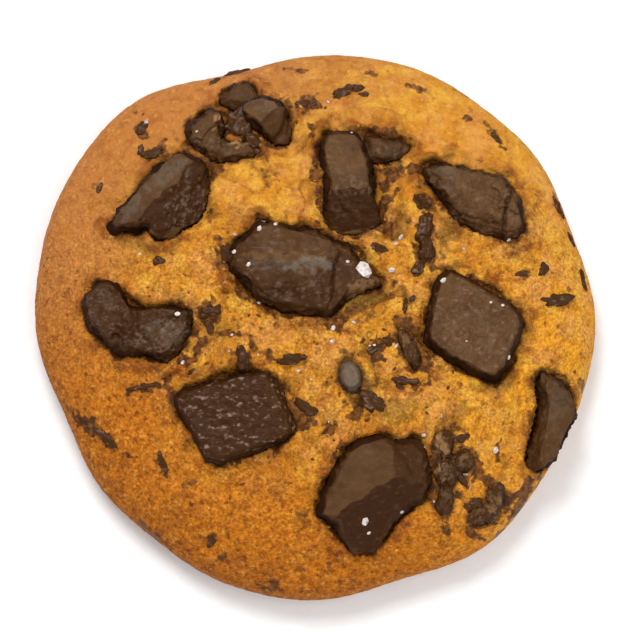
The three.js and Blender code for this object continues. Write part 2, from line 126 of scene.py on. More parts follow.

# Places and lengths in these tables are in millimetres.

# Each large chunk's facets: a place on it as (x, y), how much bloom and painted light grey it, from 0 to 1,
# and its reach
FACETS = {
    "chunk_upper_left": [((-22.6, 18.6), 0.60, 20), ((-18.6, 16.8), 0.05, 20)],
    "chunk_top_left": [((-16.5, 27.8), 0.60, 20)],
    "chunk_top_left_inner": [((-7.6, 30.4), 0.80, 20), ((-5.4, 28.2), 0.35, 20)],
    "chunk_top": [((5.2, 21.6), 0.80, 20), ((5.6, 15.4), 0.05, 20)],
    "chunk_upper_right": [((22.5, 19.0), 0.85, 20), ((22.9, 14.9), 0.6, 20)],
    "chunk_right": [((22.4, -0.8), 0.80, 20)],
    "chunk_middle": [((-4.2, 10.8), 0.55, 6.5), ((-4.0, 5.0), 0.22, 7.5), ((-9.6, 7.6), 0.25, 4)],
    "chunk_left": [((-29.4, 1.4), 0.22, 20), ((-21.6, -2.4), 0.16, 20)],
    "chunk_lower_left": [((-11.5, -13.2), 0.05, 20), ((-4.9, -13.0), 0.32, 20)],
    "chunk_bottom": [((5.2, -21.4), 0.58, 20), ((9.4, -27.0), 0.0, 20), ((12.8, -20.6), 0.2, 20)],
    "chunk_right_edge": [((34.2, -13.4), 0.60, 20)],
    "piece_middle": [((5.0, -8.3), 1.0, 20)],
}
# Each chunk's skin: how high and how wide its bumps are in mm, how long they are drawn out to the side,
# its gloss and its pale flecks painted as glints, from 0 to 1, and how ragged its sides are
SKINS = {
    "chunk_upper_left": (0.09, 1.5, 1.0, 0.30, 0.05, 0.9),
    "chunk_top_left": (0.14, 1.4, 1.0, 0.45, 0.10, 0.9),
    "chunk_top_left_inner": (0.09, 1.6, 1.0, 0.30, 0.10, 0.7),
    "chunk_top": (0.07, 1.5, 1.0, 0.30, 0.12, 0.6),
    "chunk_upper_right": (0.26, 1.2, 1.0, 0.35, 0.25, 0.7),
    "chunk_right": (0.13, 0.9, 1.0, 0.35, 0.45, 0.35),
    "chunk_middle": (0.09, 1.3, 2.0, 0.40, 0.25, 0.8),
    "chunk_left": (0.20, 1.0, 1.0, 0.70, 0.30, 0.8),
    "chunk_lower_left": (0.14, 0.8, 1.5, 0.50, 1.0, 0.25),
    "chunk_bottom": (0.06, 1.5, 1.0, 0.25, 0.10, 0.7),
    "chunk_right_edge": (0.09, 1.4, 1.0, 0.30, 0.10, 0.9),
    "piece_middle": (0.05, 1.2, 1.0, 0.25, 0.05, 0.15),
}
MELTED_SKIN = (0.42, 1.9, 0.42, 0.90, 0.15, 0.6)

# Bloom, painted light and painted shade wiped on or off a chunk: (x, y, length, width, turn in degrees,
# strength), dark where below 0
WIPES = [
    (-3.4, 8.2, 13.0, 1.5, -4, 0.8), (-27.6, -2.4, 3.4, 2.8, 0, -0.8), (-31.6, 0.6, 1.8, 6.0, 10, -0.5),
    (2.9, 22.6, 2.6, 7.0, 0, 0.25), (19.4, 19.6, 2.6, 5.0, 20, 0.2), (7.6, 27.0, 4.0, 2.0, 0, -0.6),
    (-0.6, 7.2, 5.0, 2.4, 0, 0.55), (-4.0, 12.8, 11.0, 1.8, -8, -0.4), (-3.4, 2.6, 12.0, 2.6, -4, -0.6),
    (2.4, 5.4, 1.6, 9.0, 0, -0.5), (5.0, 5.6, 4.6, 6.0, 0, -0.7), (-11.2, 33.2, 7.0, 5.0, 20, -0.4),
    (-7.6, 30.2, 4.6, 2.6, 20, 0.35), (-25.8, -2.6, 3.0, 2.4, 0, -0.8), (-20.2, 21.6, 4.2, 3.2, 45, 0.2),
    (-26.6, 14.4, 3.4, 3.0, 45, -0.4), (17.0, 21.2, 5.2, 3.6, -40, -0.45),
    (26.4, 17.4, 6.0, 4.6, -20, 0.35), (-26.2, -0.6, 3.4, 5.4, 20, -0.6), (-20.6, -2.4, 5.0, 4.4, 0, 0.25),
    (4.6, 24.8, 5.0, 2.0, 0, -0.15), (10.8, 24.6, 7.0, 4.4, -10, -0.55), (9.4, 26.4, 3.4, 1.6, -20, -0.8),
]

# Grey-blue sheen on a chunk, in the same way
SHEENS = [
    (-0.4, 7.2, 5.2, 2.4, 0, 0.75), (-6.4, 7.4, 6.0, 1.6, -6, 0.35), (-21.4, 20.4, 6.4, 2.8, 46, 0.35),
    (-26.2, 16.0, 4.0, 2.4, 46, 0.3), (-7.2, 30.2, 3.6, 1.8, 20, 0.25), (18.8, 20.6, 3.4, 3.8, 0, 0.25),
    (10.6, 24.4, 4.0, 2.4, 0, 0.1), (-29.6, 2.2, 2.4, 3.6, 20, 0.1), (-21.0, -2.2, 6.0, 4.4, 0, 0.22),
    (5.0, -8.3, 6.4, 4.6, -76, 0.75), (-3.4, -5.9, 3.0, 1.2, 2, 0.5), (34.6, -12.0, 3.0, 5.0, -20, 0.2),
]

# Crumbly breaks in a chunk, in the same way
BREAKS = [
    (5.4, 18.4, 8.0, 2.4, 8, 0.6), (2.8, 22.0, 2.4, 8.0, 0, 0.4), (-17.6, 16.4, 9.0, 5.0, 48, 0.8),
    (-24.8, 12.0, 5.0, 3.4, 40, 0.5), (10.8, 24.0, 6.0, 2.0, 0, 0.7), (27.6, 15.6, 3.0, 8.0, 0, 0.6),
    (21.0, 13.6, 9.0, 2.4, -8, 0.5), (-20.4, -2.6, 8.0, 5.0, 0, 0.9), (-2.4, 3.6, 10.0, 2.6, 0, 0.5),
    (-11.4, 5.0, 4.0, 4.0, 0, 0.5), (20.4, -21.6, 9.0, 9.0, 0, 0.5), (25.0, -26.4, 8.0, 8.0, 0, 0.45),
    (-13.4, 25.4, 8.0, 3.0, 0, 0.5), (22.0, -2.0, 13.0, 13.0, 0, 0.35), (21.4, 18.4, 9.0, 4.0, -20, 0.25),
    (1.8, 17.0, 8.0, 5.0, 0, 0.2), (34.6, -13.0, 5.0, 12.0, 0, 0.25),
]

# Baked dough stuck to a chunk, in the same way
CRUSTED = [
    (-12.4, 28.6, 4.0, 2.6, -40, 0.8), (-10.6, 25.6, 3.0, 1.4, 10, 0.9), (-8.4, 25.4, 1.2, 2.4, 20, 0.6),
    (17.6, -18.6, 1.6, 5.0, 0, 0.7), (21.6, -19.6, 1.2, 2.0, 20, 0.4), (24.4, -25.6, 3.0, 2.6, 0, 0.45),
    (6.2, 3.8, 4.0, 1.4, 40, 0.35), (13.6, -3.0, 3.0, 1.6, 0, 0.4),
]

# Grooves and breaks in a chunk: points along it as (x, y), its half width and its depth
GROOVES = [
    ([(27.6, 19.0), (27.4, 16.0), (26.8, 12.0)], 0.35, 0.6),
    ([(20.6, 14.9), (24.0, 14.0), (26.8, 13.4)], 0.3, 0.3),
    ([(-26.6, 3.2), (-25.4, 0.4), (-25.9, -1.6)], 0.6, 0.45),
    ([(-28.0, -2.2), (-26.6, -2.8)], 1.2, 0.8),
    ([(-4.0, 29.6), (-4.9, 26.8), (-6.4, 25.0)], 0.3, 0.4),
    ([(-21.9, 13.6), (-18.4, 15.4), (-16.2, 19.0)], 0.7, 0.25),
    ([(10.4, -15.8), (11.6, -18.6), (13.8, -22.0)], 0.4, 0.25),
    ([(-9.6, 4.8), (-6.6, 3.6), (-3.0, 3.2)], 0.3, 0.22),
]

# Cracks in the crust: points along it as (x, y), its half width and its depth
CRACKS = [
    ([(31.0, 20.3), (32.2, 16.5), (31.7, 11.6)], 0.35, 0.5),
    ([(10.2, 5.9), (6.8, 1.1), (2.7, -1.1), (-1.7, -0.7)], 0.5, 0.6),
    ([(-14.7, -2.2), (-10.1, -2.7)], 0.3, 0.35),
    ([(-8.9, -3.7), (-6.6, -5.6)], 0.35, 0.35),
    ([(18.4, -27.4), (18.4, -31.5)], 0.3, 0.7),
    ([(-36.1, -12.2), (-32.4, -14.6), (-28.5, -18.2)], 0.35, 0.4),
    ([(7.4, -4.6), (8.9, -7.4), (9.6, -10.6)], 0.4, 0.4),
    ([(11.6, 6.4), (11.4, 3.8), (9.0, 1.0), (6.2, -0.6)], 0.4, 0.4),
    ([(-11.6, -7.2), (-15.4, -8.0), (-20.2, -8.2)], 0.35, 0.4),
    ([(29.2, 20.8), (31.6, 18.0), (31.8, 14.4)], 0.3, 0.35),
    ([(31.6, 12.6), (30.0, 10.4), (27.6, 9.6)], 0.25, 0.3),
]

# Rolls of dough raised against a chunk: points along it as (x, y), its half width and its rise
FOLDS = [
    ([(-2.1, 20.0), (-1.9, 25.0), (0.2, 28.9), (4.0, 30.3), (8.8, 29.7), (12.6, 28.0)], 1.2, 0.75),
    ([(30.9, 18.4), (32.0, 15.6), (31.4, 11.2)], 0.8, 0.6),
    ([(16.4, 23.6), (21.0, 24.2), (26.6, 22.8)], 1.0, 0.45),
    ([(10.6, 20.6), (11.2, 16.2), (11.2, 12.6)], 1.1, 0.7),
    ([(-12.4, 21.2), (-8.0, 22.0), (-3.4, 22.4)], 1.2, 0.5),
    ([(-15.1, 12.4), (-14.6, 8.6), (-12.6, 4.4)], 1.0, 0.6),
    ([(11.0, 3.4), (8.4, -0.2), (3.6, -2.2), (-2.0, -2.2)], 0.9, 0.5),
    ([(14.2, -5.4), (19.0, -9.2), (23.6, -11.2)], 0.9, 0.4),
    ([(-20.6, -7.6), (-14.0, -5.8), (-6.2, -5.9)], 0.8, 0.35),
    ([(-14.8, -2.9), (-12.6, -4.6), (-9.9, -3.6), (-10.9, -1.4), (-13.6, -0.9)], 1.2, 0.5),
    ([(-0.6, -19.2), (1.8, -15.6), (6.2, -14.4), (10.6, -14.4)], 0.9, 0.45),
]

# Chocolate smeared into the crust: (x, y, length, width, turn in degrees, strength)
SMEARS = [
    (-10.3, 30.9, 5.3, 2.4, 0, 0.7), (-10.9, 27.6, 6.6, 5.4, 0, 0.92), (-15.6, 21.4, 4.4, 3.4, 60, 0.8),
    (9.9, 26.7, 6.6, 1.5, -14, 0.9), (11.3, 21.6, 3.4, 2.4, -60, 0.6), (-1.7, 31.2, 4.3, 2.6, 0, 0.75),
    (-31.1, 19.5, 1.9, 1.2, 90, 0.6), (-25.2, 28.4, 2.9, 2.0, 90, 0.8), (-3.1, 36.9, 3.0, 0.8, -10, 0.7),
    (8.2, 36.2, 1.6, 0.8, 0, 0.7), (22.1, 29.5, 1.6, 0.9, 0, 0.7), (25.8, 27.3, 3.9, 1.1, -50, 0.7),
    (14.3, 34.0, 4.4, 0.7, -12, 0.7), (29.4, 6.6, 2.3, 1.5, 0, 0.6), (35.6, 17.2, 3.6, 1.0, -60, 0.5),
    (37.4, 12.5, 2.9, 0.8, -60, 0.5), (-11.2, 36.7, 5.1, 0.8, 15, 0.5), (-32.2, -15.1, 8.7, 1.8, -38, 0.9),
    (-21.7, -20.5, 3.7, 1.2, -72, 0.8), (-17.9, -23.3, 1.7, 1.2, 0, 0.6), (-14.9, -31.2, 2.0, 1.3, 60, 0.7),
    (-13.0, -33.4, 1.9, 1.0, 30, 0.6), (-6.0, -37.9, 2.7, 1.6, 0, 0.7), (-1.8, -27.7, 1.5, 1.1, 0, 0.6),
    (-1.7, -35.3, 1.3, 1.1, 0, 0.6), (2.0, -34.6, 1.3, 1.0, 0, 0.6), (27.0, -20.6, 2.7, 1.4, 90, 0.4),
    (8.9, -4.2, 3.6, 2.8, 0, 0.85), (13.0, 2.3, 3.4, 2.0, 90, 0.55), (13.6, -3.6, 8.9, 3.6, -72, 0.85),
    (5.6, -9.4, 7.4, 5.4, -70, 0.5), (9.0, 9.9, 2.2, 1.5, 0, 0.9), (15.8, 11.7, 7.9, 2.9, 88, 0.75),
    (14.7, 7.0, 2.0, 1.4, 90, 0.8), (20.5, -21.5, 7.6, 8.8, 80, 0.8), (25.0, -26.6, 7.4, 5.6, 30, 0.85),
    (18.8, -28.4, 1.6, 3.6, 0, 0.7), (-22.4, -9.8, 8.4, 0.9, 8, 0.95), (-14.9, 0.5, 4.2, 3.2, 0, 0.7),
    (-12.3, -2.2, 5.2, 0.7, -8, 0.8), (-7.7, -4.7, 4.7, 1.2, -30, 0.75), (-10.3, -6.6, 3.5, 2.6, 90, 0.7),
    (-1.0, -14.4, 5.6, 2.2, -30, 0.85), (-23.2, 24.2, 4.4, 2.2, 0, 0.75), (-13.1, 9.7, 4.6, 2.6, 80, 0.65),
    (-7.6, 23.6, 3.4, 1.4, 20, 0.6), (-6.8, 20.6, 3.2, 2.2, -60, 0.45), (17.9, 8.4, 2.0, 1.0, 70, 0.4),
    (12.0, 12.9, 2.6, 5.0, 0, 0.35), (28.6, 9.2, 2.4, 0.9, -30, 0.4), (0.4, 19.6, 11.4, 1.5, -84, 0.9),
    (10.2, 17.8, 10.0, 2.2, 90, 0.85), (13.4, 21.7, 4.8, 1.1, -4, 0.9), (6.4, 12.3, 5.6, 1.1, 14, 0.85),
    (-16.9, -2.2, 4.4, 2.2, -75, 0.9), (-18.0, -6.0, 3.8, 1.7, -25, 0.85),
    (-20.0, -10.4, 5.2, 1.7, -72, 0.85), (3.6, -0.1, 3.6, 2.2, 40, 0.8), (6.5, -13.4, 2.8, 2.4, -40, 0.85),
    (3.4, -10.2, 4.4, 1.0, -62, 0.8), (-5.6, 24.9, 4.6, 1.4, -22, 0.85), (29.8, -24.6, 6.6, 2.5, 62, 0.9),
    (-23.2, -30.3, 6.0, 0.9, -38, 0.6), (37.8, -8.6, 2.6, 1.4, -70, 0.7), (13.5, -7.4, 3.4, 1.3, -8, 0.85),
    (2.6, -19.4, 3.4, 1.0, 52, 0.8), (-10.0, 3.2, 2.8, 1.2, -45, 0.8),
]

# Dough soaked through beside melted chocolate, in the same way
GLAZES = [
    (6.9, 2.2, 6.8, 3.4, 38, 1.0), (18.8, 12.2, 5.6, 3.2, 75, 0.75), (12.2, 13.2, 5.6, 2.2, 80, 0.55),
    (-14.2, -1.8, 5.6, 4.0, 30, 0.45), (5.9, -8.8, 7.4, 6.2, -70, 0.75), (19.9, -14.2, 5.6, 2.4, 40, 0.55),
    (-1.6, 24.6, 2.6, 4.2, 30, 0.35), (12.4, 25.1, 4.4, 2.4, 60, 0.4), (26.0, -9.4, 5.2, 2.8, 30, 0.45),
    (1.5, -14.6, 5.0, 2.6, 40, 0.35), (12.0, -13.2, 7.6, 4.0, 10, 0.55), (-25.1, 10.6, 8.4, 2.2, -20, 0.45),
]

# The directions in which the rim is tan, amber and toasted
TAN_SIDE = math.radians(158)
AMBER_SIDE = math.radians(-112)
TOASTED_SIDE = math.radians(-128)

# Painted light on the lower right of the crust and painted shade at its top: the direction in degrees, the
# cosine where it starts beside that, the share of the radius where it starts, and the factor on its colour
PAINTED_LIGHT_SIDES = [
    (86, 0.90, 0.55, (0.86, 0.84, 1.10)),
    (-24, 0.70, 0.42, (1.22, 1.26, 1.02)),
]

# Bits of chocolate baked into the crust: (x, y, length, width, turn in degrees)
BITS = [
    (-10.3, 33.5, 5.2, 2.4, 6), (-10.9, 28.3, 5.6, 3.6, 60), (-9.0, 26.0, 3.0, 1.6, -30),
    (15.1, 16.8, 2.6, 1.9, -20), (15.6, 13.0, 4.6, 1.9, 80), (15.9, 10.6, 3.6, 2.1, 95),
    (14.7, 7.1, 1.8, 1.5, 0), (9.1, 9.9, 2.2, 1.3, -20), (3.9, 32.9, 3.6, 1.5, 38),
    (5.8, 33.6, 2.4, 1.2, 20), (6.9, 32.8, 1.4, 0.9, 0), (7.9, -12.0, 3.8, 2.4, -35),
    (12.7, -8.9, 3.8, 1.2, -8), (12.0, -9.7, 2.2, 0.7, -20), (8.4, -4.4, 2.4, 1.5, 30),
    (10.4, -3.3, 1.8, 1.2, -40), (12.7, 1.6, 2.4, 0.8, 80), (13.8, 2.6, 2.0, 0.7, 60),
    (-14.8, 0.9, 3.4, 1.7, 20), (-15.0, -1.0, 2.2, 1.3, 100), (-10.2, -5.9, 3.2, 1.8, 100),
    (-3.4, -5.9, 4.0, 1.5, 2), (-0.9, -13.2, 4.4, 1.5, -32), (34.6, 3.1, 4.4, 1.6, 8),
    (35.0, 17.0, 3.2, 1.0, -62), (36.9, 12.3, 2.6, 0.8, -68), (38.6, 6.3, 3.4, 0.9, -84),
    (-11.4, 36.8, 3.8, 0.9, 15), (-14.6, 35.3, 1.8, 0.8, 30), (32.7, 7.3, 2.0, 1.3, 60),
    (29.3, 6.7, 1.6, 0.8, 20), (-24.9, 28.0, 2.2, 1.5, 30), (-23.2, 24.1, 3.8, 1.4, 8),
    (-25.0, 24.9, 1.6, 1.0, 60), (-29.7, -16.8, 4.2, 1.2, -42), (-33.0, -14.2, 3.0, 0.6, -34),
    (-21.6, -20.3, 3.0, 1.0, -72), (-24.2, -9.5, 4.4, 0.8, 8), (26.0, 26.8, 2.6, 0.9, -52),
    (-30.9, 19.4, 1.4, 0.8, 70), (-14.6, -31.4, 1.8, 1.0, 60), (-1.9, 31.2, 2.2, 1.2, 0),
    (-0.2, 31.0, 1.4, 0.9, 60), (17.3, -20.2, 2.4, 1.2, 60), (20.7, -16.9, 2.2, 1.1, 20),
    (20.7, -22.6, 2.4, 1.2, -50), (16.6, -23.6, 2.2, 1.0, 80), (22.9, -25.9, 2.2, 1.3, 30),
    (27.2, -25.2, 2.4, 1.2, -60), (-12.7, 9.4, 2.6, 1.4, 80), (-12.2, 7.3, 1.6, 1.0, 20),
    (-22.2, 8.4, 1.8, 1.2, 30), (-17.6, -7.4, 1.8, 1.0, 20),
]
# A bit's height as a share of its width
BIT_RISE = 0.4

# The flakes of salt that show best: (x, y, width, turn in degrees)
SALT = [
    (6.9, 6.8, 3.0, 115), (10.9, 6.9, 1.1, 20), (4.6, 7.8, 0.6, 0), (-7.4, 13.9, 0.8, 15),
    (-5.6, 13.1, 0.8, 40),
    (-7.9, 12.4, 0.9, 70), (-11.4, 9.2, 0.8, 30), (-9.4, 7.3, 0.9, 55), (-8.0, 2.2, 0.8, 20),
    (7.1, -28.8, 1.5, 65), (7.6, -30.4, 0.7, 30), (12.3, -27.4, 0.7, 20), (-19.5, 0.4, 0.9, 15),
    (-18.8, -6.2, 0.8, 70), (12.2, 11.7, 1.0, 50), (11.5, 10.7, 0.8, 20), (18.2, 5.2, 1.1, 40),
    (2.6, -1.4, 1.0, 65), (2.4, -3.4, 0.8, 10), (25.7, -18.5, 1.2, 70), (15.4, -16.6, 0.7, 10),
    (15.6, -18.2, 0.5, 30), (26.6, 1.7, 0.6, 0), (24.9, 2.1, 0.5, 20), (27.4, -5.7, 0.7, 60),
    (-11.8, -2.4, 0.6, 10), (27.6, 11.5, 0.8, 30), (21.4, -3.5, 0.4, 0), (-16.9, 27.0, 0.5, 10),
    (-24.3, 28.9, 0.8, 30), (8.4, -3.8, 0.5, 0), (5.2, 26.6, 0.4, 0),
]


def length(name, description, default):
    return FloatProperty(name=name, description=description, default=default, unit="LENGTH")


def tone(name, description, default):
    return FloatVectorProperty(name=name, description=description, default=default, subtype="COLOR")


class CrustSettings(bpy.types.PropertyGroup):
    """Sizes and colours of the baked dough"""

    rings: IntProperty(name="Rings", description="Rings of points from the middle to the rim", default=150)
    lumps: length("Lumps", "Height of the lumps between the chunks", 2.1 * MM)
    lump_size: length("Lump size", "Width of a lump", 5.5 * MM)
    lip: length("Lip", "Rise of the dough round a chunk", 0.5 * MM)
    gap_depth: length("Gap depth", "Depth of the gap round a chunk", 1.0 * MM)
    crumb_height: length("Crumb height", "Roughness of the crumb", 0.46 * MM)
    crumb_size: length("Crumb size", "Width of one crumb", 1.5 * MM)
    pit_depth: length("Pit depth", "Depth of a pit", 0.5 * MM)
    pit_spacing: length("Pit spacing", "Distance from pit to pit", 3.6 * MM)
    golden: tone("Golden", "Dough of the middle", (0.60, 0.240, 0.018))
    tan: tone("Tan", "Rim on the left and the top", (0.47, 0.172, 0.038))
    amber: tone("Amber", "Rim at the bottom", (0.50, 0.155, 0.007))
    # Toasted also darkens the valleys between the lumps as painted shade
    toasted: tone("Toasted", "Mottling and the edges of lips", (0.28, 0.076, 0.009))
    # Olive also lies in a ring close round each chunk, partly as painted shade
    olive: tone("Olive", "Dough soaked beside melted chocolate", (0.20, 0.100, 0.012))
    smear: tone("Smear", "Chocolate smeared on the dough", (0.060, 0.021, 0.006))
    # Browned also darkens the gaps round the chunks as painted shade
    browned: tone("Browned", "Pits, cracks and the underside", (0.13, 0.032, 0.008))


class ChocolateSettings(bpy.types.PropertyGroup):
    """Sizes and colours of the chocolate"""

    grain: length("Grain", "Size of the mesh's faces", 0.22 * MM)
    dark: tone("Dark", "Chocolate without bloom", (0.041, 0.0130, 0.002))
    # The bloom tone also stands for painted light on lit facets and tops
    bloom: tone("Bloom", "Chocolate greyed by bloom", (0.130, 0.063, 0.022))
    sheen: tone("Sheen", "Grey-blue sheen of the smoothest faces", (0.145, 0.118, 0.088))
    # The pale flecks are painted glints on small bumps
    glint_fleck: tone("Fleck", "Flecks of thick bloom", (0.26, 0.150, 0.110))


class SaltSettings(bpy.types.PropertyGroup):
    """Sizes and colour of the salt"""

    colour: tone("Colour", "Colour of a flake", (0.80, 0.71, 0.67))
    height: FloatProperty(
        name="Height", description="Height of a flake as a share of its width", default=0.55, subtype="FACTOR"
    )


def look(name):
    return getattr(bpy.context.scene.cookie, name)


def search_tree(meshes):
    """The meshes as one search tree."""
    points, faces = [], []
    for mesh in meshes:
        start = len(points)
        points += [vertex.co.copy() for vertex in mesh.vertices]
        faces += [[start + i for i in polygon.vertices] for polygon in mesh.polygons]
    return BVHTree.FromPolygons(points, faces)


def nodes_tree(names):
    """The frame's solids of these names as one search tree."""
    return search_tree(frame["nodes"][name].data for name in names)


def from_above(tree, x, y):
    """The first place on the tree below a high point, its normal, its face and its distance."""
    return tree.ray_cast(Vector((x, y, FAR_OFF)), Vector((0, 0, -1)))


def height_at(tree, x, y, missing=None):
    """Height of the tree's top at a place."""
    hit = from_above(tree, x, y)[0]
    return missing if hit is None else hit.z


def cleared(tree, points, below, trench):
    """Lowers points under the tree's top: wholly where it lies flat, at most by the trench at steep sides."""
    for i, (x, y, z) in enumerate(points.tolist()):
        hit, normal, _, _ = from_above(tree, x, y)
        if hit is not None and z > hit.z - below:
            points[i, 2] = max(hit.z - below, z - (6 * MM if normal.z > 0.3 else trench))


def smooth(value, low, high):
    """0 below low, 1 above high, and an even rise between them."""
    share = np.clip((value - low) / (high - low), 0, 1)
    return share * share * (3 - 2 * share)


def hump(value, at, width):
    """1 where the value is at its place, fading to 0 on both sides."""
    return np.exp(-(((value - at) / width) ** 2))


def waves(points, size, seed=0.0, octaves=3):
    """Fractal noise at each point, about -1 to 1, with features of the given size."""
    offset = Vector((17.3, -4.1, 9.7)) * (1 + seed)
    scale = 1 / size
    return np.array([noise.fractal(Vector(p) * scale + offset, 0.9, 2.1, octaves) for p in points.tolist()])


def relax(points, edges, rounds, share=0.5, movable=None):
    """Moves every point towards the mean of its neighbours."""
    count = np.bincount(edges.ravel(), minlength=len(points)).astype(float)[:, None]
    for _ in range(rounds):
        total = np.zeros_like(points)
        for axis in range(points.shape[1]):
            total[:, axis] = np.bincount(edges[:, 0], points[edges[:, 1], axis], len(points))
            total[:, axis] += np.bincount(edges[:, 1], points[edges[:, 0], axis], len(points))
        step = share * (total / np.maximum(count, 1) - points)
        points = points + (step if movable is None else step * movable[:, None])
    return points


def mesh_points(mesh):
    points = np.empty(len(mesh.vertices) * 3, np.float32)
    mesh.vertices.foreach_get("co", points)
    return points.reshape(-1, 3).astype(float)


def mesh_edges(mesh):
    edges = np.empty(len(mesh.edges) * 2, np.int32)
    mesh.edges.foreach_get("vertices", edges)
    return edges.reshape(-1, 2)


def mesh_normals(mesh):
    normals = np.empty(len(mesh.vertices) * 3, np.float32)
    mesh.vertex_normals.foreach_get("vector", normals)
    return normals.reshape(-1, 3).astype(float)


def set_points(mesh, points):
    mesh.vertices.foreach_set("co", points.astype(np.float32).ravel())
    mesh.update()


def set_attribute(mesh, name, values):
    if values.ndim == 1:
        attribute = mesh.attributes.new(name, "FLOAT", "POINT")
        attribute.data.foreach_set("value", values.astype(np.float32))
    else:
        attribute = mesh.attributes.new(name, "FLOAT_COLOR", "POINT")
        rgba = np.ones((len(values), 4), np.float32)
        rgba[:, :3] = values
        attribute.data.foreach_set("color", rgba.ravel())


def set_attributes(mesh, fields):
    for name, values in fields.items():
        set_attribute(mesh, name, values)


def shade(mesh, smoothly):
    mesh.polygons.foreach_set("use_smooth", [smoothly] * len(mesh.polygons))


def new_object(name, mesh):
    made = bpy.data.objects.new(name, mesh)
    bpy.context.scene.collection.objects.link(made)
    shade(mesh, True)
    return made


def as_plain_mesh(made):
    """Turns the object with its modifiers into a plain mesh."""
    bpy.context.view_layer.update()
    seen = made.evaluated_get(bpy.context.evaluated_depsgraph_get())
    mesh = bpy.data.meshes.new_from_object(seen)
    made.modifiers.clear()
    made.data = mesh
    mesh.name = made.name


def put_on(made, slot, *replaced):
    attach(made, BODY)
    if replaced:
        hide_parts(*replaced)


def wire(tree, node, inputs):
    """Gives a node's inputs their values or links."""
    for key, value in inputs.items():
        if isinstance(value, bpy.types.NodeSocket):
            tree.links.new(value, node.inputs[key])
        else:
            node.inputs[key].default_value = value
    return node


def add(tree, kind, inputs=None, **settings):
    """A new node with its settings and its inputs."""
    node = tree.nodes.new(kind)
    for name, value in settings.items():
        setattr(node, name, value)
    return wire(tree, node, inputs or {})


def calc(tree, operation, first, second=0.0, clamp=False):
    return add(tree, "ShaderNodeMath", {0: first, 1: second}, operation=operation, use_clamp=clamp).outputs[0]


def times(tree, first, second):
    return calc(tree, "MULTIPLY", first, second)


def ramp(tree, value, low, high, out_low=0.0, out_high=1.0):
    """The value from low to high, mapped smoothly to the other range."""
    inputs = {"Value": value, "From Min": low, "From Max": high, "To Min": out_low, "To Max": out_high}
    return add(tree, "ShaderNodeMapRange", inputs, interpolation_type="SMOOTHSTEP").outputs[0]


def paint(value):
    """A colour as a node takes it: a link as it is, and three numbers with their alpha."""
    return value if isinstance(value, bpy.types.NodeSocket) else (*value, 1.0)


def blend(tree, share, first, second, kind="MIX"):
    """The first colour mixed with the second."""
    inputs = {0: share, 6: paint(first), 7: paint(second)}
    return add(tree, "ShaderNodeMix", inputs, data_type="RGBA", blend_type=kind).outputs[2]


def grain(tree, where, size, detail=3.0, roughness=0.55, stretch=(1, 1, 1)):
    """Noise with features of a size, read at a place in metres."""
    scaled = add(tree, "ShaderNodeMapping", {"Vector": where, "Scale": stretch}).outputs[0]
    inputs = {"Vector": scaled, "Scale": 1 / size, "Detail": detail, "Roughness": roughness}
    return add(tree, "ShaderNodeTexNoise", inputs).outputs["Fac"]


def attribute(tree, name, output="Fac"):
    return add(tree, "ShaderNodeAttribute", attribute_name=name).outputs[output]


def xyz(tree, x, y, z):
    return add(tree, "ShaderNodeCombineXYZ", {0: x, 1: y, 2: z}).outputs[0]


def shift(tree, place, by):
    return add(tree, "ShaderNodeVectorMath", {0: place, 1: by}, operation="ADD").outputs[0]


def bump(tree, height, strength, distance):
    inputs = {"Strength": strength, "Distance": distance, "Height": height}
    return add(tree, "ShaderNodeBump", inputs).outputs[0]


def new_material(name):
    """A material with its shader, and the place that its patterns read."""
    material = bpy.data.materials.new(name)
    material.use_nodes = True
    tree = material.node_tree
    shader = next(node for node in tree.nodes if node.type == "BSDF_PRINCIPLED")
    where = add(tree, "ShaderNodeTexCoord").outputs["Object"]
    return material, tree, shader, where


def pores(tree, where, spacing, radius, share):
    """Small dark pores at random places: 1 in a pore and 0 outside it."""
    bent = calc(tree, "SUBTRACT", grain(tree, where, spacing * 0.4, 2), 0.5)
    nudge = times(tree, bent, spacing * 0.5)
    moved = shift(tree, where, xyz(tree, nudge, nudge, nudge))
    cells = add(tree, "ShaderNodeTexVoronoi", {"Vector": moved, "Scale": 1 / spacing})
    picked = add(tree, "ShaderNodeSeparateColor", {0: cells.outputs["Color"]}).outputs[0]
    inside = ramp(tree, cells.outputs["Distance"], radius / spacing, 2.0 * radius / spacing, 1.0, 0.0)
    return times(tree, inside, calc(tree, "LESS_THAN", picked, share))


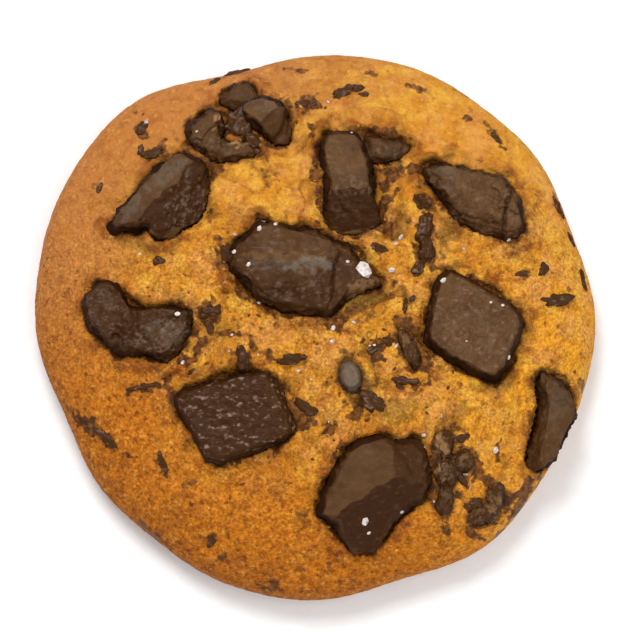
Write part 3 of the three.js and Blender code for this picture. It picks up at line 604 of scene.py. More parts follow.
def dough_material():
    """Baked dough: mottled gold and brown, with dark pits, chocolate smears and a fine crumb."""
    crust = look("crust")
    material, tree, shader, where = new_material("baked_dough")
    golden, porous, stained = (attribute(tree, name) for name in ("golden", "porous", "stain"))
    # The base colours hold painted light on the lower right and painted shade at the top
    base = attribute(tree, "crust_colour", "Color")
    sunny = ramp(tree, grain(tree, where, 3.4 * MM, 3), 0.44, 0.66, 0, 0.75)
    base = blend(tree, times(tree, sunny, golden), base, SUNNY)
    ruddy = ramp(tree, grain(tree, where, 5.0 * MM, 4, 0.6), 0.46, 0.62, 0, 0.60)
    base = blend(tree, times(tree, ruddy, golden), base, RUDDY)
    baked = ramp(tree, grain(tree, where, 2.6 * MM, 3, 0.6), 0.52, 0.72, 0, 0.60)
    base = blend(tree, baked, base, BAKED)
    mottled = ramp(tree, grain(tree, where, 1.5 * MM, 4, 0.62), 0.46, 0.70, 0, 0.55)
    # The toasted places, and the painted shade in the valleys between the lumps
    mottled = calc(tree, "ADD", mottled, attribute(tree, "toast"), clamp=True)
    base = blend(tree, mottled, base, crust.toasted)
    # Glaze, and a ring of painted shade close round each chunk
    base = blend(tree, attribute(tree, "glaze"), base, crust.olive)
    pale = ramp(tree, grain(tree, where, 0.9 * MM, 3), 0.55, 0.70, 0, 0.30)
    base = blend(tree, pale, base, PALE)
    rusty = blend(tree, ramp(tree, grain(tree, where, 0.8 * MM, 4, 0.66), 0.42, 0.66), *RUST)
    base = blend(tree, attribute(tree, "amber"), base, blend(tree, 1.0, base, rusty, "MULTIPLY"))
    crumbly = ramp(tree, grain(tree, where, 0.42 * MM, 3, 0.65), 0.25, 0.75, 0.60, 1.32)
    crumbly = add(tree, "ShaderNodeCombineColor", {0: crumbly, 1: crumbly, 2: crumbly}).outputs[0]
    base = blend(tree, porous, base, blend(tree, 1.0, base, crumbly, "MULTIPLY"))

    small = times(tree, pores(tree, where, 1.15 * MM, 0.16 * MM, 0.55), 0.62)
    wide = times(tree, pores(tree, where, 3.3 * MM, 0.33 * MM, 0.5), 0.6)
    open_pores = times(tree, calc(tree, "MAXIMUM", small, wide), porous)
    # The pits also hold the cracks and the painted shade in the gaps round the chunks
    holes = calc(tree, "MAXIMUM", open_pores, attribute(tree, "pit"))
    worn = ramp(tree, grain(tree, where, 0.55 * MM, 3, 0.6), 0.40, 0.58, 0.15, 1.0)
    base = blend(tree, times(tree, holes, worn), base, crust.browned)
    bending = calc(tree, "ABSOLUTE", calc(tree, "SUBTRACT", grain(tree, where, 1.9 * MM, 4, 0.6), 0.5))
    broken = ramp(tree, grain(tree, where, 2.4 * MM, 2), 0.48, 0.62)
    cracks = times(tree, ramp(tree, bending, 0.0, 0.016, 0.6, 0.0), broken)
    base = blend(tree, times(tree, cracks, porous), base, crust.browned)

    ragged = calc(tree, "SUBTRACT", grain(tree, where, 1.0 * MM, 4, 0.65), 0.5)
    spread = calc(tree, "ADD", stained, times(tree, ragged, 1.3))
    stain = times(tree, ramp(tree, spread, 0.16, 0.78), ramp(tree, stained, 0.0, 0.25))
    stain = times(tree, stain, 0.96)
    thin = ramp(tree, grain(tree, where, 0.9 * MM, 3), 0.42, 0.62)
    base = blend(tree, stain, base, blend(tree, thin, crust.smear, THIN_SMEAR))
    height = calc(tree, "SUBTRACT", grain(tree, where, 0.6 * MM, 5, 0.66), times(tree, open_pores, 0.9))
    wire(tree, shader, {
        "Base Color": base,
        "Roughness": ramp(tree, stain, 0, 1, 0.74, 0.42),
        "Specular IOR Level": 0.12,
        "Normal": bump(tree, height, 0.85, 0.36 * MM),
    })
    return material


def chocolate_material():
    """Dark chocolate that has melted and set: satin, greyed by bloom on broken faces, with painted light and
    shade.
    """
    chocolate = look("chocolate")
    material, tree, shader, where = new_material("set_chocolate")
    wall = attribute(tree, "wall")
    cloudy = grain(tree, where, 2.6 * MM, 4, 0.6)
    # Bloom and painted light grey the facets and tops
    share = times(tree, attribute(tree, "bloom"), ramp(tree, cloudy, 0.25, 0.70, 0.45, 1.0))
    base = blend(tree, share, chocolate.dark, chocolate.bloom)
    specked = ramp(tree, grain(tree, where, 0.5 * MM, 3, 0.6), 0.32, 0.62, 0.35, 1.0)
    base = blend(tree, times(tree, attribute(tree, "sheen"), specked), base, chocolate.sheen)
    streaks = grain(tree, where, 0.70 * MM, 2, 0.5, stretch=(0.62, 1.0, 1.0))
    # Pale flecks painted as glints
    glinting = times(tree, ramp(tree, streaks, 0.53, 0.76), attribute(tree, "flecks"))
    base = blend(tree, glinting, base, chocolate.glint_fleck)
    base = blend(tree, attribute(tree, "crusted"), base, STUCK_DOUGH)
    # Painted shade on the steep sides
    base = blend(tree, times(tree, wall, 0.85), base, PAINTED_SIDE_SHADE)
    gloss = times(tree, attribute(tree, "gloss"), ramp(tree, cloudy, 0.3, 0.7, 1.0, 0.75))
    height = calc(tree, "ADD", grain(tree, where, 0.45 * MM, 4, 0.6), times(tree, streaks, 0.6))
    wire(tree, shader, {
        "Base Color": base,
        "Roughness": ramp(tree, gloss, 0, 1, 0.58, 0.16),
        "Specular IOR Level": ramp(tree, wall, 0, 1, 0.10, 0.05),
        "Normal": bump(tree, height, 0.4, 0.14 * MM),
    })
    return material


def mixed_material(name, size, detail, low, high, tones, finish):
    """Two tones mixed in patches of a size, with the shader's other values."""
    material, tree, shader, where = new_material(name)
    mixed = ramp(tree, grain(tree, where, size, detail), low, high)
    wire(tree, shader, {"Base Color": blend(tree, mixed, *tones), **finish})
    return material


def speck_material():
    """Specks of chocolate crumbled into the dough, redder than a chunk."""
    finish = {"Roughness": 0.6, "Specular IOR Level": 0.12}
    return mixed_material("chocolate_speck", 1.5 * MM, 2, 0.4, 0.6, SPECKS, finish)


def crumb_material():
    """Loose crumbs of the golden dough."""
    finish = {"Roughness": 0.8, "Specular IOR Level": 0.2}
    return mixed_material("dough_crumb", 1.2 * MM, 3, 0.35, 0.65, CRUMBS, finish)


def salt_material():
    """Flakes of salt: white, a little clear, with light in them."""
    clear = {"Roughness": 0.3, "Transmission Weight": 0.25}
    lit = {"Subsurface Weight": 0.3, "Subsurface Radius": (0.6 * MM,) * 3}
    tones = look("salt").colour, SALT_SHADE
    return mixed_material("salt_flake", 0.5 * MM, 2, 0.4, 0.7, tones, {**clear, **lit})


def floor_material():
    """Pale paper."""
    return mixed_material("pale_floor", 3 * MM, 2, 0.3, 0.7, FLOOR_TONES, {"Roughness": 0.9})


def material_of(made, material):
    made.data.materials.clear()
    made.data.materials.append(material)


def facet_plane(tree, place):
    """The plane z = ax + by + c of the solid's top round a place."""
    x0, y0 = place[0] * MM, place[1] * MM
    steps = [i * 0.3 * MM for i in range(-2, 3)]
    samples = [(x0 + dx, y0 + dy, height_at(tree, x0 + dx, y0 + dy)) for dx in steps for dy in steps]
    samples = np.array([s for s in samples if s[2] is not None])
    rows = np.column_stack([samples[:, :2], np.ones(len(samples))])
    return np.linalg.lstsq(rows, samples[:, 2], rcond=None)[0]


def softened_solid(name):
    """A node's solid as a fine mesh with softly rounded edges, and its points."""
    mesh = frame["nodes"][name].data.copy()
    merged = bmesh.new()
    merged.from_mesh(mesh)
    bmesh.ops.remove_doubles(merged, verts=merged.verts, dist=0.002 * MM)
    merged.to_mesh(mesh)
    merged.free()
    made = new_object("chocolate_" + name, mesh)
    remesh = made.modifiers.new("Remesh", "REMESH")
    remesh.mode = "VOXEL"
    remesh.voxel_size = look("chocolate").grain
    as_plain_mesh(made)
    points = relax(mesh_points(made.data), mesh_edges(made.data), 6)
    set_points(made.data, points)
    return made, points


def crisp_facets(name, points, normals, edges):
    """The points drawn onto the chunk's facets, and how much bloom and painted light greys each of them."""
    sides = MELTED_BLOOM_AND_LIGHT if name.startswith(("melt_", "sliver_")) else LEAST_BLOOM_AND_LIGHT
    facets = FACETS.get(name)
    if not facets:
        return points, np.full(len(points), sides)
    tree = nodes_tree([name])
    planes = np.array([facet_plane(tree, place) for place, _, _ in facets])
    heights = points[:, :1] * planes[:, 0] + points[:, 1:2] * planes[:, 1] + planes[:, 2]
    for i in range(len(facets)):
        heights[:, i] += 0.35 * MM * waves(points, 2.6 * MM, 30 + i, 2)
    tops = np.array([height_at(tree, x, y, 0.0) for x, y in points[:, :2].tolist()])
    places = np.array([place for place, _, _ in facets]) * MM
    reaches = np.array([reach for _, _, reach in facets]) * MM
    beyond = np.hypot(points[:, :1] - places[:, 0], points[:, 1:2] - places[:, 1]) > reaches
    heights[beyond | (np.abs(heights - tops[:, None]) > 0.5 * MM)] = FAR_OFF
    lowest = heights.min(1)
    near_top = smooth(points[:, 2] - lowest, -0.9 * MM, -0.35 * MM) * smooth(normals[:, 2], 0.55, 0.85)
    points[:, 2] += near_top * (lowest - points[:, 2])
    # Tops take their facet's bloom and painted light, while the steep sides keep less and stay darker
    blooms_and_lights = np.array([value for _, value, _ in facets])[heights.argmin(1)]
    bloom = sides + (blooms_and_lights - sides) * smooth(normals[:, 2], 0.45, 0.8)
    return relax(points, edges, 1, 0.4), bloom


def fine_chunk(name):
    """A node's solid: crisp facets, grooves, breaks, a rough skin, bloom, painted light and shade."""
    made, points = softened_solid(name)
    normals, edges = mesh_normals(made.data), mesh_edges(made.data)
    points, bloom = crisp_facets(name, points, normals, edges)
    bumps, width, drawn_out, gloss, flecks, raggedness = SKINS.get(name, MELTED_SKIN)
    sideways = points / np.array([drawn_out, 1.0, 1.0])
    upward = smooth(normals[:, 2], 0.0, 0.4)
    bent = points + MM * 0.5 * waves(points, 2.4 * MM, 15, 2)[:, None]
    grooved, depth = along_lines(bent[:, 0], bent[:, 1], GROOVES)
    points[:, 2] -= depth * upward

    wander = waves(points, 1.4 * MM, 16, 3)
    # Bloom, painted light and painted shade wiped on or off
    for *patch, strength in WIPES:
        mark = abs(strength) * patch_field(points, [(*patch, 1.0)], wander) * upward
        bloom += mark * ((1.15 if strength > 0 else 0.0) - bloom)
    # Painted shade in the grooves
    bloom *= 1 - 0.8 * grooved
    broken = patch_field(points, BREAKS, waves(points, 1.4 * MM, 20, 3)) * upward
    glints = smooth(waves(points, 0.6 * MM, 21, 3), 0.04, 0.40)
    sheen = patch_field(points, SHEENS, waves(points, 1.2 * MM, 18, 3)) * upward

    skin = bumps * MM * waves(sideways, width * MM, 1) + 0.04 * MM * waves(points, 0.5 * MM, 2)
    skin += 0.7 * MM * broken * (0.4 * waves(points, 1.1 * MM, 19, 3) - 0.1)
    ragged = 0.75 * waves(points, 2.4 * MM, 4, 2) + 0.42 * waves(points, 0.9 * MM, 9, 2)
    worn = raggedness * MM * ragged * (1 - smooth(normals[:, 2], 0.35, 0.8))
    points += normals * (skin * upward + worn - 0.02 * MM)[:, None]
    set_points(made.data, points)
    set_attributes(made.data, {
        # Bloom with painted light and shade, and painted glints in the breaks
        "bloom": np.maximum(bloom + broken * (0.7 * glints - 0.12), 0),
        "sheen": np.maximum(sheen, 0.6 * glints * broken),
        "crusted": patch_field(points, CRUSTED, 2.0 * waves(points, 1.1 * MM, 22, 3)) * upward,
        "gloss": gloss * (0.55 + 0.45 * upward),
        # Painted shade on the steep sides
        "wall": 1 - smooth(normals[:, 2], 0.1, 0.6),
        "flecks": flecks * upward,
    })
    return made


class COOKIE_OT_chunks(bpy.types.Operator):
    """Make the chocolate chunks and melted pieces fine"""

    bl_idname = "cookie.chunks"
    bl_label = "Chocolate chunks"

    def execute(self, context):
        material = chocolate_material()
        for name in CHUNKS + MELTS:
            made = fine_chunk(name)
            material_of(made, material)
            put_on(made, "chocolate", name)
        return {"FINISHED"}


def crust_grid(solid, pockets, cell=1.0 * MM, rounds=900):
    """The crust's height on a square grid, carried smoothly across the chunks' pockets."""
    half = int(math.ceil(max(abs(v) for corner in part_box("dough") for v in corner[:2]) / cell)) + 2
    steps = np.arange(-half, half + 1) * cell
    height = np.full((len(steps), len(steps)), WIDEST_AT)
    open_cell = np.ones_like(height, bool)
    for i, x in enumerate(steps):
        for j, y in enumerate(steps):
            top = height_at(solid, x, y)
            if top is None:
                continue
            height[i, j] = top
            beside = pockets.find_nearest(Vector((x, y, top)), 0.9 * MM)[0]
            covered = height_at(pockets, x, y) is not None
            open_cell[i, j] = not (covered or beside)
    closed = ~open_cell
    height[closed] = height[open_cell].mean()
    for _ in range(rounds):
        mean = sum(np.roll(height, step, axis) for axis in (0, 1) for step in (1, -1)) / 4
        height[closed] = mean[closed]
    return steps, height


def on_grid(steps, height, x, y):
    """The grid's height at places, read between its points."""
    cell = steps[1] - steps[0]
    u, v = (x - steps[0]) / cell, (y - steps[0]) / cell
    i = np.clip(u.astype(int), 0, len(steps) - 2)
    j = np.clip(v.astype(int), 0, len(steps) - 2)
    u, v = u - i, v - j
    low = height[i, j] * (1 - u) + height[i + 1, j] * u
    high = height[i, j + 1] * (1 - u) + height[i + 1, j + 1] * u
    return low * (1 - v) + high * v


def side_radius(solid, angle, z):
    """How far the solid's side is from its middle, at a height."""
    out = Vector((math.cos(angle), math.sin(angle), 0))
    hit = solid.ray_cast(out * FAR_OFF + Vector((0, 0, z)), -out)[0]
    return Vector((hit.x, hit.y)).length


def disc_faces(rings, start=0):
    """Triangles of a disc whose ring k has 6k points, counted from its middle outwards."""
    first = [start] + [start + 1 + 3 * k * (k - 1) for k in range(1, rings + 1)]
    faces = []
    for k in range(1, rings + 1):
        outside, inside = 6 * k, max(1, 6 * (k - 1))
        for sector in range(6):
            for i in range(k):
                here = first[k] + (sector * k + i) % outside
                beyond = first[k] + (sector * k + i + 1) % outside
                inner = first[k - 1] + (sector * (k - 1) + i) % inside
                faces.append((here, beyond, inner))
                if i < k - 1:
                    faces.append((inner, beyond, first[k - 1] + (sector * (k - 1) + i + 1) % inside))
    return faces


def disc_points(shares, edge):
    """Places of a disc's points, with each ring at a share of the edge's radius."""
    around = np.arange(len(edge) + 1) * 2 * math.pi / len(edge)
    closed = np.append(edge, edge[0])
    points = [np.zeros((1, 2))]
    for k in range(1, len(shares)):
        angle = np.arange(6 * k) * 2 * math.pi / (6 * k)
        radius = np.interp(angle, around, closed) * shares[k]
        points.append(np.column_stack([radius * np.cos(angle), radius * np.sin(angle)]))
    return np.vstack(points)


def round_mesh(solid, pockets):
    """The dough's outside: a disc over the top, rows down the side and a disc underneath."""
    rings = look("crust").rings
    steps, grid = crust_grid(solid, pockets)
    count = 6 * rings
    angle = np.arange(count) * 2 * math.pi / count
    edge = np.array([side_radius(solid, a, WIDEST_AT) for a in angle])

    # The rings lie evenly along the slope from the middle to the rim.
    outwards = np.linspace(0, 0.998, 300)
    profile = on_grid(steps, grid, -outwards * 38 * MM, 0 * outwards)
    walked = np.concatenate([[0], np.cumsum(np.hypot(np.diff(outwards * RADIUS), np.diff(profile)))])
    shares = np.interp(np.linspace(0, walked[-1], rings + 1), walked, outwards)
    shares[-1] = 1
    top = disc_points(shares, edge)
    faces = disc_faces(rings)
    z = on_grid(steps, grid, top[:, 0], top[:, 1])
    share = np.repeat(shares, [1] + [6 * k for k in range(1, rings + 1)])
    for i in np.flatnonzero(share > 0.9):
        x, y = top[i]
        direct = height_at(solid, x * 0.9995, y * 0.9995, WIDEST_AT)
        z[i] += smooth(share[i], 0.9, 0.94) * (max(direct, WIDEST_AT) - z[i])
    points = [np.column_stack([top, z])]

    above, total = len(top) - count, len(top)
    for row in range(1, SIDE_ROWS + 1):
        z = 0.0 if row == SIDE_ROWS else WIDEST_AT * (1 - math.sin(row / SIDE_ROWS * math.pi / 2))
        radius = np.array([side_radius(solid, a, max(z, 0.02 * MM)) for a in angle])
        points.append(np.column_stack([radius * np.cos(angle), radius * np.sin(angle), np.full(count, z)]))
        for i in range(count):
            follow = (i + 1) % count
            faces.append((total + i, total + follow, above + follow, above + i))
        above, total = total, total + count

    base_rings = rings // 3
    base = disc_points(np.linspace(0, 1 - 0.7 / base_rings, base_rings + 1), radius)
    dents = 0.22 * MM * smooth(waves(np.column_stack([base, 0 * base[:, 0]]), 3.5 * MM, 17, 3), 0.0, 0.35)
    points.append(np.column_stack([base, dents]))
    faces += [face[::-1] for face in disc_faces(base_rings, total)]
    rim = total + len(base) - 6 * base_rings
    for j in range(6 * base_rings):
        near, follow = rim + j, rim + (j + 1) % (6 * base_rings)
        for i in range(3):
            faces.append((above + 3 * j + i, near, above + (3 * j + i + 1) % count))
        faces.append((near, follow, above + (3 * j + 3) % count))
    return np.vstack(points), faces, len(top)


def distance_to(tree, points, reach):
    """Each point's distance to the tree's surface, at most the reach, and negative under its outline."""
    away = np.full(len(points), reach)
    for i, p in enumerate(points.tolist()):
        place = Vector(p)
        near = tree.find_nearest(place, reach)
        if near[0] is None:
            continue
        away[i] = near[3]
        if height_at(tree, place.x, place.y) is not None:
            away[i] = -near[3]
    return away


def patch_field(points, patches, wander):
    """How far each point lies in one of the patches, from 0 to 1, with ragged edges."""
    field = np.zeros(len(points))
    for x, y, length, width, turn, strength in patches:
        turn = math.radians(turn)
        dx, dy = points[:, 0] - x * MM, points[:, 1] - y * MM
        along = (dx * math.cos(turn) + dy * math.sin(turn)) / (length * MM / 2)
        across = (dy * math.cos(turn) - dx * math.sin(turn)) / (width * MM / 2)
        away = np.hypot(along, across) + wander
        field = np.maximum(field, strength * smooth(-away, -1.25, -0.7))
    return field


def along_lines(x, y, lines):
    """How far each place lies on one of the lines, 1 on it and 0 beside it, and the line's height there."""
    inside, height = np.zeros_like(x), np.zeros_like(x)
    for line, width, tall in lines:
        for (x0, y0), (x1, y1) in zip(line, line[1:]):
            dx, dy = (x1 - x0) * MM, (y1 - y0) * MM
            t = np.clip(((x - x0 * MM) * dx + (y - y0 * MM) * dy) / (dx * dx + dy * dy), 0, 1)
            away = np.hypot(x - x0 * MM - t * dx, y - y0 * MM - t * dy)
            mark = hump(away, 0, width * MM)
            inside = np.maximum(inside, mark)
            height = np.maximum(height, mark * tall * MM)
    return inside, height


def with_painted_light(colours, angle, share):
    """The crust's colours, with painted light on its lower right and painted shade at its top."""
    for turn, narrow, start, light_factor in PAINTED_LIGHT_SIDES:
        part = smooth(np.cos(angle - math.radians(turn)), narrow, 0.99) * smooth(share, start, start + 0.2)
        colours = colours * (1 + part[:, None] * (np.array(light_factor) - 1))
    return colours


def crust_zones(points, share, angle):
    """How far each point is in the tan zone at the left rim, in the amber zone below and on the underside."""
    wander = 0.12 * waves(points, 14 * MM, 5, 2)
    outer = smooth(share + wander, 0.45, 0.95)
    tan = outer * smooth(np.cos(angle - TAN_SIDE), -0.05, 0.75)
    amber = smooth(share + wander, 0.2, 0.85) * smooth(np.cos(angle - AMBER_SIDE), 0.1, 0.8)
    under = smooth(-points[:, 2], -3.0 * MM, -0.2 * MM)
    return tan, amber, under


def crust_colours(crust, tan, amber, under):
    """The baked colour at each point."""
    colours = np.tile(np.array(crust.golden), (len(tan), 1))
    colours += tan[:, None] * (np.array(crust.tan) - colours)
    colours += amber[:, None] * (np.array(crust.amber) - colours)
    brown = (0.7 * np.array(crust.amber) + 0.3 * np.array(crust.browned)) * 0.8
    return colours + under[:, None] * (brown - colours)


def billows(points, size, seed):
    """Rounded lumps with sharp valleys between them: the height, and how deep in a valley each point is."""
    large = np.abs(waves(points, size, seed, 1))
    small = np.abs(waves(points, size / 2.3, seed + 1, 1))
    return large + 0.45 * small - 0.30, 1 - smooth(large, 0.0, 0.075)


def new_group(name, sizes, counts=()):
    """A new Geometry Nodes tree with its named inputs, and the sockets that give them."""
    tree = bpy.data.node_groups.new(name, "GeometryNodeTree")
    inputs = {"Geometry": "Geometry", **dict.fromkeys(sizes, "Float"), **dict.fromkeys(counts, "Int")}
    for label, kind in {**inputs, "Material": "Material"}.items():
        tree.interface.new_socket(label, in_out="INPUT", socket_type="NodeSocket" + kind)
    tree.interface.new_socket("Geometry", in_out="OUTPUT", socket_type="NodeSocketGeometry")
    return tree, add(tree, "NodeGroupInput").outputs


def end_group(tree, geometry, material):
    """Ends a tree in plain geometry that carries the material."""
    real = add(tree, "GeometryNodeRealizeInstances", {"Geometry": geometry}).outputs[0]
    coated = add(tree, "GeometryNodeSetMaterial", {"Geometry": real, "Material": material}).outputs[0]
    tree.links.new(coated, add(tree, "NodeGroupOutput").inputs[0])
    return tree


def stored(tree, name):
    return add(tree, "GeometryNodeInputNamedAttribute", {"Name": name}, data_type="FLOAT").outputs[0]


def relief_tree():
    """Raises the crumb, sinks the pits, and keeps pit depth with the cracks and painted shade in the gaps."""
    tree, given = new_group("Crust relief", ("Crumb height", "Crumb size", "Pit depth", "Pit spacing"))
    place = add(tree, "GeometryNodeInputPosition").outputs[0]

    def noise_of(size, detail):
        scale = calc(tree, "DIVIDE", 1.0, size)
        inputs = {"Vector": place, "Scale": scale, "Detail": detail, "Roughness": 0.62}
        return calc(tree, "SUBTRACT", add(tree, "ShaderNodeTexNoise", inputs).outputs["Fac"], 0.5)

    rough = stored(tree, "rough")
    crumb = times(tree, noise_of(given["Crumb size"], 4.0), given["Crumb height"])
    crumb = times(tree, times(tree, crumb, 2.0), rough)

    scale = calc(tree, "DIVIDE", 1.0, given["Pit spacing"])
    bent = times(tree, noise_of(given["Crumb size"], 2.0), given["Crumb size"])
    shifted = shift(tree, place, xyz(tree, bent, bent, bent))
    cells = add(tree, "ShaderNodeTexVoronoi", {"Vector": shifted, "Scale": scale, "Randomness": 1.0}).outputs
    picked = add(tree, "FunctionNodeSeparateColor", {0: cells["Color"]}).outputs
    reach = calc(tree, "ADD", times(tree, picked[1], 0.14), 0.10)
    hole = ramp(tree, calc(tree, "DIVIDE", cells["Distance"], reach), 0.35, 1.0, 1.0, 0.0)
    hole = times(tree, hole, calc(tree, "GREATER_THAN", picked[0], 0.5))
    hole = times(tree, hole, rough)

    away = calc(tree, "SUBTRACT", crumb, times(tree, hole, given["Pit depth"]))
    normal = add(tree, "GeometryNodeInputNormal").outputs[0]
    offset = add(tree, "ShaderNodeVectorMath", {0: normal, "Scale": away}, operation="SCALE").outputs[0]
    moved = add(tree, "GeometryNodeSetPosition", {"Geometry": given["Geometry"], "Offset": offset}).outputs[0]
    # Pits, cracks and the painted shade in the gaps round the chunks
    dark = calc(tree, "MAXIMUM", times(tree, hole, 0.85), stored(tree, "crack"))
    inputs = {"Geometry": moved, "Name": "pit", "Value": dark}
    kept = add(tree, "GeometryNodeStoreNamedAttribute", inputs, data_type="FLOAT", domain="POINT").outputs[0]
    return end_group(tree, kept, given["Material"])


def run_nodes(made, tree, values):
    """Puts the tree on the object with its named inputs set, and keeps the result as a plain mesh."""
    modifier = made.modifiers.new(tree.name, "NODES")
    modifier.node_group = tree
    for item in tree.interface.items_tree:
        if item.in_out == "INPUT" and item.name in values:
            modifier[item.identifier] = values[item.name]
    as_plain_mesh(made)


def raised_crust(mesh, points, top_count):
    """Gives the dough its folds, lumps, lips, gaps and cracks, and tells how each of its points lies."""
    crust = look("crust")
    chunks, melts = nodes_tree(CHUNKS), nodes_tree(MELTS)
    edges, top = mesh_edges(mesh), slice(0, top_count)
    movable = np.zeros(len(points))
    movable[:top_count + (SIDE_ROWS - STILL_ROWS) * 6 * crust.rings] = 1
    points = relax(points, edges, 12, 0.5, movable)

    away = np.full(len(points), 6 * MM)
    away[top] = distance_to(chunks, points[top], 6 * MM)
    beside = np.full(len(points), 3 * MM)
    beside[top] = distance_to(melts, points[top], 3 * MM)
    uneven = waves(points, 3.5 * MM, 3, 2)
    share = np.hypot(points[:, 0], points[:, 1]) / RADIUS
    angle = np.arctan2(points[:, 1], points[:, 0])
    tan, amber, under = crust_zones(points, share, angle)
    beneath = smooth(-away, 0.2 * MM, 0.9 * MM) * 2.0 * MM
    away += 1.2 * MM * waves(points, 2.8 * MM, 7, 2) + 0.35 * MM * waves(points, 1.3 * MM, 12, 2)

    lumpy = smooth(-share, -0.98, -0.62) * (1 - 0.75 * tan) * (1 - 0.5 * amber)
    lumpy *= (0.35 + 0.65 * smooth(away, 0.2 * MM, 2.5 * MM)) * smooth(points[:, 2], 2 * MM, 6 * MM)
    lumps, valley = billows(points, crust.lump_size, 11)
    lip = hump(away, 1.1 * MM, 0.8 * MM) * crust.lip * np.clip(1 + 2.6 * uneven, 0, 1.8)
    gap = smooth(-away, -0.45 * MM, 0.5 * MM) * crust.gap_depth
    under_melts = smooth(-beside, 0.0, 0.6 * MM) * 0.7 * MM
    x = points[:, 0] + 1.6 * MM * waves(points, 3 * MM, 13, 2)
    y = points[:, 1] + 1.6 * MM * waves(points, 3 * MM, 14, 2)
    inside, depth = along_lines(x, y, CRACKS)
    folded = along_lines(x, y, FOLDS)[1] * smooth(away, -0.2 * MM, 0.9 * MM) * (1 + uneven)
    inside[top_count:] = 0
    depth[top_count:] = 0
    points[:top_count, 2] += folded[:top_count]
    points[:, 2] += lumps * crust.lumps * lumpy
    points[:, 2] += lip - np.maximum(gap, beneath) - depth * (1 + 0.5 * uneven) - under_melts
    points = relax(points, edges, 2, 0.4, movable)
    cleared(chunks, points[top], 0.9 * MM, 2.2 * MM)
    cleared(melts, points[top], 0.12 * MM, 0.6 * MM)
    points[:, 2] = np.maximum(points[:, 2], 0)
    set_points(mesh, points)
    return SimpleNamespace(
        points=points, share=share, angle=angle, tan=tan, amber=amber, under=under, away=away, beside=beside,
        uneven=uneven, lumpy=lumpy, valley=valley, cracked=inside,
    )


def crust_fields(at, top_count):
    """What the dough's material reads per point: colours, stains, toasted places, painted light and shade."""
    crust = look("crust")
    golden = (1 - at.tan) * (1 - at.amber)
    rough = 0.35 + 0.65 * smooth(-at.share, -0.98, -0.55)
    rough *= smooth(at.away, 0.1 * MM, 0.7 * MM) * smooth(at.points[:, 2], 0.2 * MM, 3 * MM)
    # Darker in the cracks, with painted shade in the gap round each chunk
    crack = np.maximum(at.cracked * 0.7, 0.95 * smooth(-at.away, -0.5 * MM, 0.05 * MM))

    wander = 1.5 * waves(at.points, 1.7 * MM, 6, 3)
    tongues = 0.4 * MM + 1.6 * MM * smooth(waves(at.points, 2.2 * MM, 8, 3), -0.02, 0.34)
    smudge = smooth(-at.away, -tongues, -0.2 * tongues)
    fringe = smooth(-at.beside, -1.0 * MM, -0.1 * MM)
    smeared = patch_field(at.points, SMEARS, wander) * smooth(at.points[:, 2], 2 * MM, 3.6 * MM)
    stain = np.clip(np.maximum(0.6 * smudge, np.maximum(0.55 * fringe, smeared)), 0, 1)

    # A ring close round each chunk: soaked dough, partly painted shade
    soaked_and_shaded = hump(at.away, 0.8 * MM, 0.9 * MM) * smooth(wander, -0.1, 0.5)
    glaze = np.maximum(patch_field(at.points, GLAZES, 0.6 * wander), 0.55 * soaked_and_shaded * golden)
    glaze[top_count:] = 0
    edge_toast = hump(at.away, 1.2 * MM, 1.1 * MM) * smooth(at.uneven, -0.15, 0.2)
    low_left = smooth(np.cos(at.angle - TOASTED_SIDE), 0.3, 1.0)
    rim_toast = smooth(at.share + 0.2 * at.uneven, 0.72, 1.0) * low_left
    return {
        "rough": rough,
        "crack": crack,
        # With painted light on the lower right and painted shade at the top
        "crust_colour": with_painted_light(crust_colours(crust, at.tan, at.amber, at.under), at.angle, at.share),
        "golden": golden * (1 - at.under),
        "amber": at.amber,
        "porous": 1 - 0.75 * smooth(at.points[:, 1], 6 * MM, 26 * MM),
        "stain": stain,
        "glaze": glaze,
        # Toasted mottling, lip edges and rim, and painted shade in the valleys between the lumps
        "toast": 0.70 * edge_toast + 0.55 * at.valley * at.lumpy + 0.42 * rim_toast,
    }


class COOKIE_OT_crust(bpy.types.Operator):
    """Make the baked dough with its lips, cracks, crumb and pits"""

    bl_idname = "cookie.crust"
    bl_label = "Baked dough"

    def execute(self, context):
        crust = look("crust")
        points, faces, top_count = round_mesh(nodes_tree(["dough"]), nodes_tree(CHUNKS + MELTS))
        mesh = bpy.data.meshes.new("dough")
        mesh.from_pydata(points.tolist(), [], faces)
        mesh.update()
        set_attributes(mesh, crust_fields(raised_crust(mesh, points, top_count), top_count))
        made = new_object("baked_dough", mesh)
        values = {
            "Crumb height": crust.crumb_height,
            "Crumb size": crust.crumb_size,
            "Pit depth": crust.pit_depth,
            "Pit spacing": crust.pit_spacing,
            "Material": dough_material(),
        }
        run_nodes(made, relief_tree(), values)
        put_on(made, "dough", "dough")
        return {"FINISHED"}


def drop(ground, x, y):
    """Where something dropped at a place lands, and the direction it then stands in."""
    hit, normal, _, _ = from_above(ground, x * MM, y * MM)
    if hit is None:
        raise RuntimeError(f"nothing lies under ({x}, {y})")
    return hit, (normal + Vector((0, 0, 1))).normalized()


